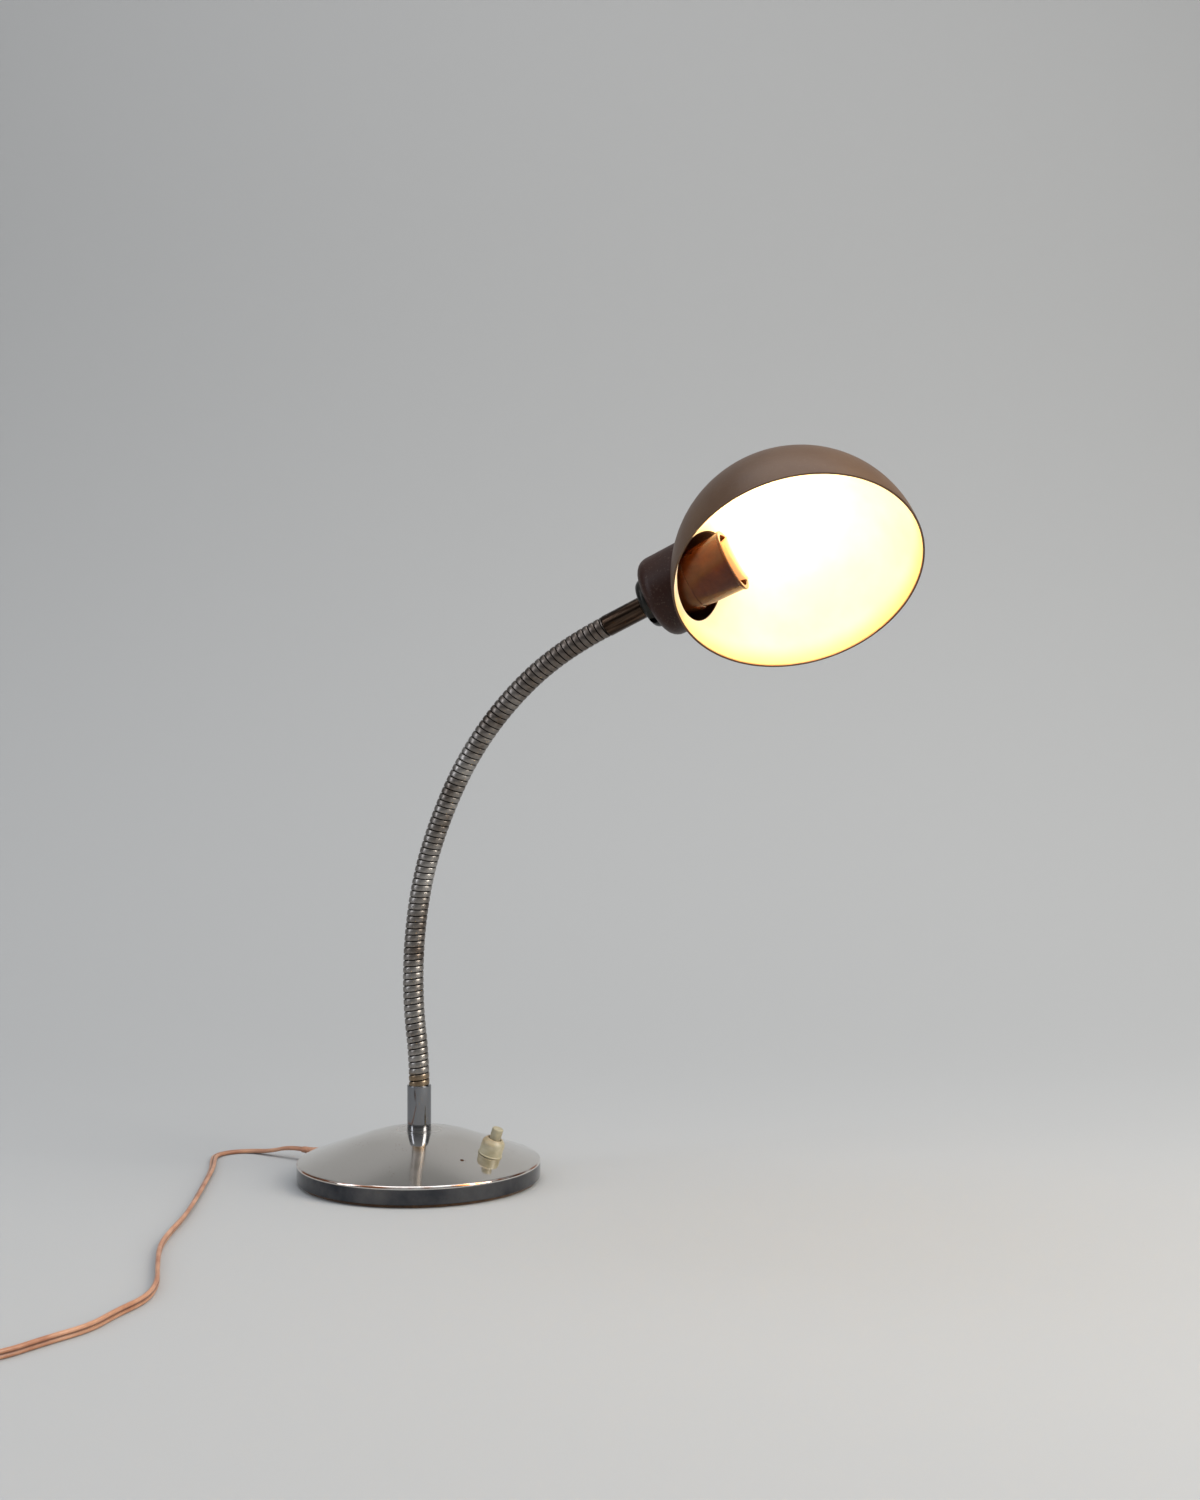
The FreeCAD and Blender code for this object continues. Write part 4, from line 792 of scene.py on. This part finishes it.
def brown_bakelite():
    """Phenolic moulding: deep brown with faint mottle, polished by use."""
    material, tree, shader = new_finish("brown_bakelite", Roughness=0.24, Specular_IOR_Level=0.35)
    place = add_node(tree, "ShaderNodeTexCoord").outputs["Object"]
    mottle = add_node(tree, "ShaderNodeTexNoise",
                      {"Vector": place, "Scale": 110.0, "Detail": 6.0, "Roughness": 0.7,
                                                   "Distortion": 0.6})
    tone = add_node(tree, "ShaderNodeValToRGB", {0: mottle.outputs["Fac"]},
                    stops=((0.38, "431f0b"), (0.7, "572a10")))
    tree.links.new(tone.outputs[0], shader.inputs["Base Color"])
    return material


bakelite = brown_bakelite()
cap_bore = holder_cap_radius - holder_wall
cap_outline = [(nipple_bore, holder_low), (cap_neck_radius, holder_low, 0.8 * MM),
               (cap_neck_radius, cap_neck_end, 2 * MM), (holder_cap_radius - 2 * MM, cap_shoulder, 3 * MM),
               (holder_cap_radius, skirt_low, 0.3 * MM), (cap_bore, skirt_low),
               (cap_bore, cap_shoulder + holder_wall), (nipple_bore, cap_inside)]
cap = to_scene(on_head(turned(cap_outline, 128)), "holder_back", bakelite)
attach(cap, "head")
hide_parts("holder_cap")
skirt_root = holder_cap_radius - joint_step
skirt_lip_low = holder_mouth - skirt_lip_width
skirt_outline = [(skirt_root - holder_wall, skirt_low), (skirt_root, skirt_low, 0.3 * MM),
                 (skirt_radius, skirt_lip_low, 0.4 * MM), (skirt_lip_radius, skirt_lip_low, 0.4 * MM),
                 (skirt_lip_radius, holder_mouth, 0.5 * MM),
                 (skirt_radius - holder_wall, holder_mouth, 0.5 * MM)]
skirt = to_scene(on_head(turned(skirt_outline, 128)), "holder_front", bakelite)
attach(skirt, "head")
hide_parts("holder_skirt")

# Bulb: a small round bulb, lit, on a screw cap. Its opal glass glows a warm white, strong enough to
# drown the white inside of the shade; the yellow at the shade's edges is painted falloff in its enamel.
shell_low = skirt_low + 1.5 * MM
bulb_low = shell_low + 0.6 * MM
bulb_length = 78 * MM
bulb_radius = 22.5 * MM
bulb_neck = 12.4 * MM
bulb_middle = bulb_low + bulb_length - bulb_radius
glass_foot = bulb_low + 18 * MM
glow_start = holder_mouth + 1 * MM
glow_full = holder_mouth + 11 * MM


def lit_glass():
    """Opal glass over a filament: an even warm white glow, golden and much weaker at the neck."""
    material, tree, shader = new_finish("lit_opal_glass", Base_Color=colour("fff4dc"), Roughness=0.2)
    place = add_node(tree, "ShaderNodeTexCoord").outputs["Object"]
    from_head = add_node(tree, "ShaderNodeVectorMath", {0: place, 1: head_origin}, operation="SUBTRACT")
    along = add_node(tree, "ShaderNodeVectorMath", {0: from_head.outputs[0], 1: head_heading},
                     operation="DOT_PRODUCT")
    body = add_node(tree, "ShaderNodeMapRange", {0: along.outputs["Value"], 1: glow_start, 2: glow_full},
                    interpolation_type="SMOOTHSTEP")
    power = add_node(tree, "ShaderNodeMapRange", {0: body.outputs[0], 3: 0.75, 4: 14.5})
    tree.links.new(power.outputs[0], shader.inputs["Emission Strength"])
    glow = add_node(tree, "ShaderNodeMix", {0: body.outputs[0], 6: colour("ff9c2e"), 7: colour("ffdba4")},
                    data_type="RGBA")
    tree.links.new(glow.outputs[2], shader.inputs["Emission Color"])
    cloud = add_node(tree, "ShaderNodeTexNoise", {"Vector": place, "Scale": 60.0, "Detail": 2.0})
    rough = add_node(tree, "ShaderNodeMapRange", {0: cloud.outputs["Fac"], 3: 0.15, 4: 0.25})
    tree.links.new(rough.outputs[0], shader.inputs["Roughness"])
    return material


bm = bmesh.new()
bmesh.ops.create_uvsphere(bm, u_segments=64, v_segments=32, radius=bulb_radius)

# The lower half of the ball is drawn down into the neck
for vert in bm.verts:
    if vert.co.z < 0:
        share = min(-vert.co.z / bulb_radius, 1)
        out = math.hypot(vert.co.x, vert.co.y)
        reach = bulb_neck + (bulb_radius - bulb_neck) * (0.5 + 0.5 * math.cos(math.pi * share))
        if out > 1e-6:
            vert.co.x *= reach / out
            vert.co.y *= reach / out
        vert.co.z = -share * (bulb_middle - glass_foot)
bmesh.ops.translate(bm, verts=bm.verts[:], vec=(0, 0, bulb_middle))
bulb = to_scene(on_head(bm), "bulb", lit_glass())
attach(bulb, "head")
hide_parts("bulb_glass", "bulb_stem")

# Shade: half a sphere spun from sheet steel, taupe enamel outside and white inside, with a thin trimmed
# edge. It is entered from its side, so the bulb lies across it, and its inside is lit almost white.
shade_hole = 24 * MM
painted_falloff_depth = 18 * MM
wrap_start = 0.2 * MM
wrap_end = 1.6 * MM


def white_enamel():
    """White stove enamel with a painted falloff of the bulb's light, yellow towards the lip, where the brown
    outside wraps over the edge.
    """
    material, tree, shader = new_finish("white_enamel_inside", Roughness=0.4)
    place = add_node(tree, "ShaderNodeTexCoord").outputs["Object"]
    cloud = add_node(tree, "ShaderNodeTexNoise", {"Vector": place, "Scale": 30.0, "Detail": 4.0})
    tone = add_node(tree, "ShaderNodeValToRGB", {0: cloud.outputs["Fac"]},
                    stops=((0.3, "ece2cc"), (0.7, "f6efdf")))
    from_head = add_node(tree, "ShaderNodeVectorMath", {0: place, 1: head_origin}, operation="SUBTRACT")
    out = add_node(tree, "ShaderNodeVectorMath", {0: from_head.outputs[0], 1: head_out},
                   operation="DOT_PRODUCT")
    depth = add_node(tree, "ShaderNodeMath", {0: axis_above_opening, 1: out.outputs["Value"]},
                     operation="SUBTRACT")
    # Towards the lip the white goes yellow: painted falloff of the bulb's light.
    painted_falloff = add_node(tree, "ShaderNodeMapRange", {0: depth.outputs[0], 1: 0.0, 2: painted_falloff_depth, 3: 1.0,
                                                 4: 0.0}, interpolation_type="SMOOTHSTEP")
    falloff_tinted = add_node(tree, "ShaderNodeMix", {0: painted_falloff.outputs[0], 6: tone.outputs[0], 7: colour("e6cf8e")},
                    data_type="RGBA")
    lip = add_node(tree, "ShaderNodeMapRange", {0: depth.outputs[0], 1: wrap_start, 2: wrap_end, 3: 1.0,
                                                4: 0.0})
    edge = add_node(tree, "ShaderNodeMix", {0: lip.outputs[0], 6: falloff_tinted.outputs[2], 7: colour("8a4a1c")},
                    data_type="RGBA")
    tree.links.new(edge.outputs[2], shader.inputs["Base Color"])
    return material


taupe_enamel = stove_enamel("taupe_stove_enamel", "573f2e", "68503c", 0.4, 380.0)
white_inside = white_enamel()
bm = bmesh.new()
bmesh.ops.create_uvsphere(bm, u_segments=192, v_segments=128, radius=shade_radius)
bmesh.ops.bisect_plane(bm, geom=bm.verts[:] + bm.edges[:] + bm.faces[:], dist=1e-7, plane_co=(0, 0, 0),
                       plane_no=(0, 0, 1), clear_outer=True)
bmesh.ops.recalc_face_normals(bm, faces=bm.faces[:])
bmesh.ops.solidify(bm, geom=bm.faces[:], thickness=shade_wall)
for face in bm.faces:
    is_inside = face.calc_center_median().length < shade_radius - shade_wall * 0.75
    face.material_index = 1 if is_inside else 0
bmesh.ops.rotate(bm, verts=bm.verts[:], cent=(0, 0, 0), matrix=Matrix.Rotation(math.pi / 2, 3, "Y"))
bmesh.ops.translate(bm, verts=bm.verts[:], vec=(axis_above_opening, 0, shade_along))
shade = to_scene(on_head(bm), "shade_dome", taupe_enamel, white_inside)
entry = peg(shade_hole, shade_along - shade_radius - 5 * MM, shade_along - 10 * MM, 96)
cut_away(shade, on_head(entry))
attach(shade, "head")
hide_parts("shade")

# Switch: a push button in cream urea plastic, aged to ivory with amber in its corners. The body has a
# thin flange at its foot and a chamfered shoulder, and the button stands in a ring in its top.
switch_circle = 53.3 * MM
switch_angle = math.radians(-10)
cone_slope = math.atan(slope)
switch_radius = 7.25 * MM
switch_height = 10.9 * MM
switch_shoulder = 2.4 * MM
shoulder_radius = 4.9 * MM
flange_radius = 7.7 * MM
flange_height = 0.8 * MM
button_bore = 3.75 * MM
button_radius = 3.55 * MM
button_proud = 6.75 * MM
upright = Vector((0, 0, 1))
radial = Vector((math.cos(switch_angle), math.sin(switch_angle), 0))
switch_out = radial * math.sin(cone_slope) + upright * math.cos(cone_slope)
switch_down = radial * math.cos(cone_slope) - upright * math.sin(cone_slope)
switch_place = Matrix((switch_down, switch_out.cross(switch_down), switch_out)).transposed().to_4x4()
switch_seat = rim_height + (base_radius - switch_circle) * slope
switch_place.translation = radial * switch_circle + upright * switch_seat


def aged_cream(name, dark, light, amber_low, amber_high):
    """Moulded urea: ivory cream, smooth and slightly waxy, with amber stains near its top edges."""
    material, tree, shader = new_finish(name, Roughness=0.36, Subsurface_Weight=0.08, Subsurface_Scale=0.002)
    shader.inputs["Subsurface Radius"].default_value = (1.0, 0.7, 0.4)
    place = add_node(tree, "ShaderNodeTexCoord").outputs["Object"]
    cloud = add_node(tree, "ShaderNodeTexNoise",
                     {"Vector": place, "Scale": 170.0, "Detail": 5.0, "Roughness": 0.6})
    cream = add_node(tree, "ShaderNodeValToRGB", {0: cloud.outputs["Fac"]},
                     stops=((0.3, dark), (0.7, light)))
    level = add_node(tree, "ShaderNodeSeparateXYZ", {0: place})
    band = add_node(tree, "ShaderNodeMapRange",
                    {0: level.outputs["Z"], 1: amber_low, 2: amber_high, 3: 0.0, 4: 1.0})
    stain = add_node(tree, "ShaderNodeMath", {0: band.outputs[0], 1: cloud.outputs["Fac"]},
                     operation="MULTIPLY")
    tone = add_node(tree, "ShaderNodeMix", {0: stain.outputs[0], 6: cream.outputs[0], 7: colour("a07a4c")},
                    data_type="RGBA")
    tree.links.new(tone.outputs[2], shader.inputs["Base Color"])
    return material


body_top = switch_place.translation.z + switch_height
switch_cream = aged_cream("aged_cream_urea", "999176", "b5ad93", body_top - 5 * MM, body_top + 1 * MM)
# The button's cream is a little darker than the body's: painted shade.
button_cream = aged_cream("aged_cream_button", "968d74", "aea68c",
                          body_top + button_proud - 1 * MM, body_top + button_proud + 4 * MM)
body_outline = [(button_bore, 0), (flange_radius, 0, 0.2 * MM),
                (flange_radius, flange_height, 0.25 * MM),
                (switch_radius, flange_height + 0.1 * MM, 0.2 * MM),
                (switch_radius, switch_height - switch_shoulder, 1.0 * MM),
                (shoulder_radius, switch_height, 0.5 * MM), (button_bore + 0.5 * MM, switch_height, 0.2 * MM),
                (button_bore, switch_height - 0.8 * MM)]
bm = turned(body_outline, 96)
bmesh.ops.transform(bm, matrix=switch_place, verts=bm.verts[:])
switch_body = to_scene(bm, "push_switch", switch_cream)
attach(switch_body, "base")
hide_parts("switch_body")
button_foot = switch_height - 1.5 * MM
button_top = switch_height + button_proud
button_outline = [(0, button_foot), (button_radius, button_foot), (button_radius, button_top, 0.7 * MM),
                  (0, button_top)]
bm = turned(button_outline, 64)
bmesh.ops.transform(bm, matrix=switch_place, verts=bm.verts[:])
button = to_scene(bm, "push_button", button_cream)
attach(button, "button")
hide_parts("switch_button")

# Strain relief: moulded round the flex in the same PVC, clipped in the rim, flattened like the flex and
# stepped with shallow rings so that it bends evenly.
relief_root = 3.5 * MM
relief_flange = 4.05 * MM
relief_shank = relief_root - 0.1 * MM
relief_seat = 0.05 * MM
shank_depth = 4 * MM
tip_radius = 3.0 * MM
ring_count = 5
ring_start = 3 * MM
ring_step = 3.4 * MM
ring_taper = 0.12 * MM
ring_depth = 0.45 * MM
relief_outline = [(0, -shank_depth), (relief_shank, -shank_depth), (relief_shank, relief_seat),
                  (relief_flange, relief_seat), (relief_flange, 1.6 * MM, 0.5 * MM), (relief_root, 1.7 * MM)]
for k in range(ring_count):
    start = ring_start + k * ring_step
    size = relief_root - ring_taper * k
    relief_outline += [(size, start), (size - ring_depth, start + 0.4 * MM),
                       (size - ring_depth, start + 1.2 * MM), (size - 0.05 * MM, start + 1.6 * MM)]
relief_outline += [(tip_radius, relief_length, 0.5 * MM), (0, relief_length)]
bm = turned(relief_outline, 64)

# Past its flange it flattens towards the flex, and is fully flat two thirds of the way along
flatten_start = 2 * MM
flattening = 0.32
for vert in bm.verts:
    past = max(vert.co.z - flatten_start, 0) / (relief_length - flatten_start)
    vert.co.x *= 1 - flattening * min(past * 1.5, 1)
outward = Vector((math.cos(exit_angle), math.sin(exit_angle), 0))
relief_place = Matrix((upright, outward.cross(upright), outward)).transposed().to_4x4()
relief_place.translation = outward * base_radius + upright * exit_height
bmesh.ops.transform(bm, matrix=relief_place, verts=bm.verts[:])
relief = to_scene(bm, "flex_relief", lead_finish)
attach(relief, "base")
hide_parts("strain_relief")

# Hidden pieces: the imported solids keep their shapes, each with the finish of the stock that it is made
# of, such as sand cast iron, zinc plated steel, pressed brass or glazed porcelain.


def stock_finish(name, dark, light, scale, bump_strength=0.1, **sockets):
    """Stock material whose colour wanders between two tones, with a fine surface to match."""
    material, tree, shader = new_finish(name, **sockets)
    place = add_node(tree, "ShaderNodeTexCoord").outputs["Object"]
    cloud = add_node(tree, "ShaderNodeTexNoise",
                     {"Vector": place, "Scale": scale, "Detail": 5.0, "Roughness": 0.6})
    tone = add_node(tree, "ShaderNodeValToRGB", {0: cloud.outputs["Fac"]},
                    stops=((0.3, dark), (0.7, light)))
    tree.links.new(tone.outputs[0], shader.inputs["Base Color"])
    fine = add_node(tree, "ShaderNodeTexNoise", {"Vector": place, "Scale": scale * 9, "Detail": 3.0})
    bump = add_node(tree, "ShaderNodeBump", {"Height": fine.outputs["Fac"], "Strength": bump_strength,
                                             "Distance": 0.0004})
    tree.links.new(bump.outputs[0], shader.inputs["Normal"])
    return material


stock = {
    "chrome": chrome,
    "cast_iron": stock_finish("sand_cast_iron", "2b2a29", "3b3937", 60.0, 0.5, Metallic=0.4, Roughness=0.75),
    "zinc_steel": stock_finish("zinc_plated_steel", "8f9296", "b9bcc0", 90.0, 0.1, Metallic=1.0,
                               Roughness=0.3),
    "felt": stock_finish("pressed_brown_felt", "4b3524", "6a4d33", 350.0, 0.9, Roughness=1.0,
                         Sheen_Weight=0.4),
    "cream_plastic": switch_cream,
    "black_plastic": stock_finish("black_abs", "131211", "1e1c1a", 200.0, 0.15, Roughness=0.45),
    "spring_steel": stock_finish("drawn_spring_wire", "77787a", "9a9b9d", 300.0, 0.05, Metallic=1.0,
                                 Roughness=0.28),
    "brass": stock_finish("pressed_brass", "a88443", "cfae67", 90.0, 0.06, Metallic=1.0, Roughness=0.25),
    "black_rubber": stock_finish("black_rubber", "161514", "22201f", 250.0, 0.3, Roughness=0.7),
    "lead_sleeving": stock_finish("lead_sleeving", "7a4f35", "996a4a", 150.0, 0.1, Roughness=0.5),
    "cord_pvc": lead_finish,
    "nickel_pins": stock_finish("nickel_plated_pins", "b5b1a6", "cdc9be", 120.0, 0.05, Metallic=1.0,
                                Roughness=0.22),
    "hose_steel": hose_metal,
    "bronzed_brass": ferrule.data.materials[0],
    "collar_steel": collar.data.materials[0],
    "black_screw": stock_finish("blackened_screw", "0d0c0b", "1c1a18", 300.0, 0.1, Metallic=0.8,
                                Roughness=0.45),
    "brown_enamel": brown_enamel,
    "taupe_enamel": taupe_enamel,
    "bakelite": bakelite,
    "porcelain": stock_finish("glazed_porcelain", "e3dfd5", "f1eee6", 40.0, 0.03, Roughness=0.15),
    "bulb_glass": bulb.data.materials[0],
    "bulb_aluminium": stock_finish("rolled_aluminium", "b2b4b6", "cfd1d2", 120.0, 0.05, Metallic=1.0,
                                   Roughness=0.3),
}
for subpart in frame["record"]["subparts"]:
    node = frame["nodes"][subpart["node"]]
    node.data.materials.clear()
    node.data.materials.append(stock[subpart["material_slot"]])

# Felt pad: a disc of brown pressed felt, glued under the bottom plate to save the table. It is cut by
# hand, so its edge wavers a little, and the weight of the base has rounded it.
felt_radius = 75.3 * MM
felt_thickness = 2 * MM
felt_waver = 0.25 * MM
felt_edge = 1 * MM
bm = turned([(0, 0), (felt_radius, 0, 0.7 * MM), (felt_radius, felt_thickness, 0.3 * MM),
             (0, felt_thickness)])
for vert in bm.verts:
    out = math.hypot(vert.co.x, vert.co.y)
    if out > felt_radius - felt_edge:
        angle = math.atan2(vert.co.y, vert.co.x)
        reach = 1 + felt_waver * math.sin(23 * angle) * math.sin(7 * angle + 1) / out
        vert.co.x *= reach
        vert.co.y *= reach
felt = to_scene(bm, "felt_foot", stock["felt"])
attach(felt, "base")
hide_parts("felt_pad")
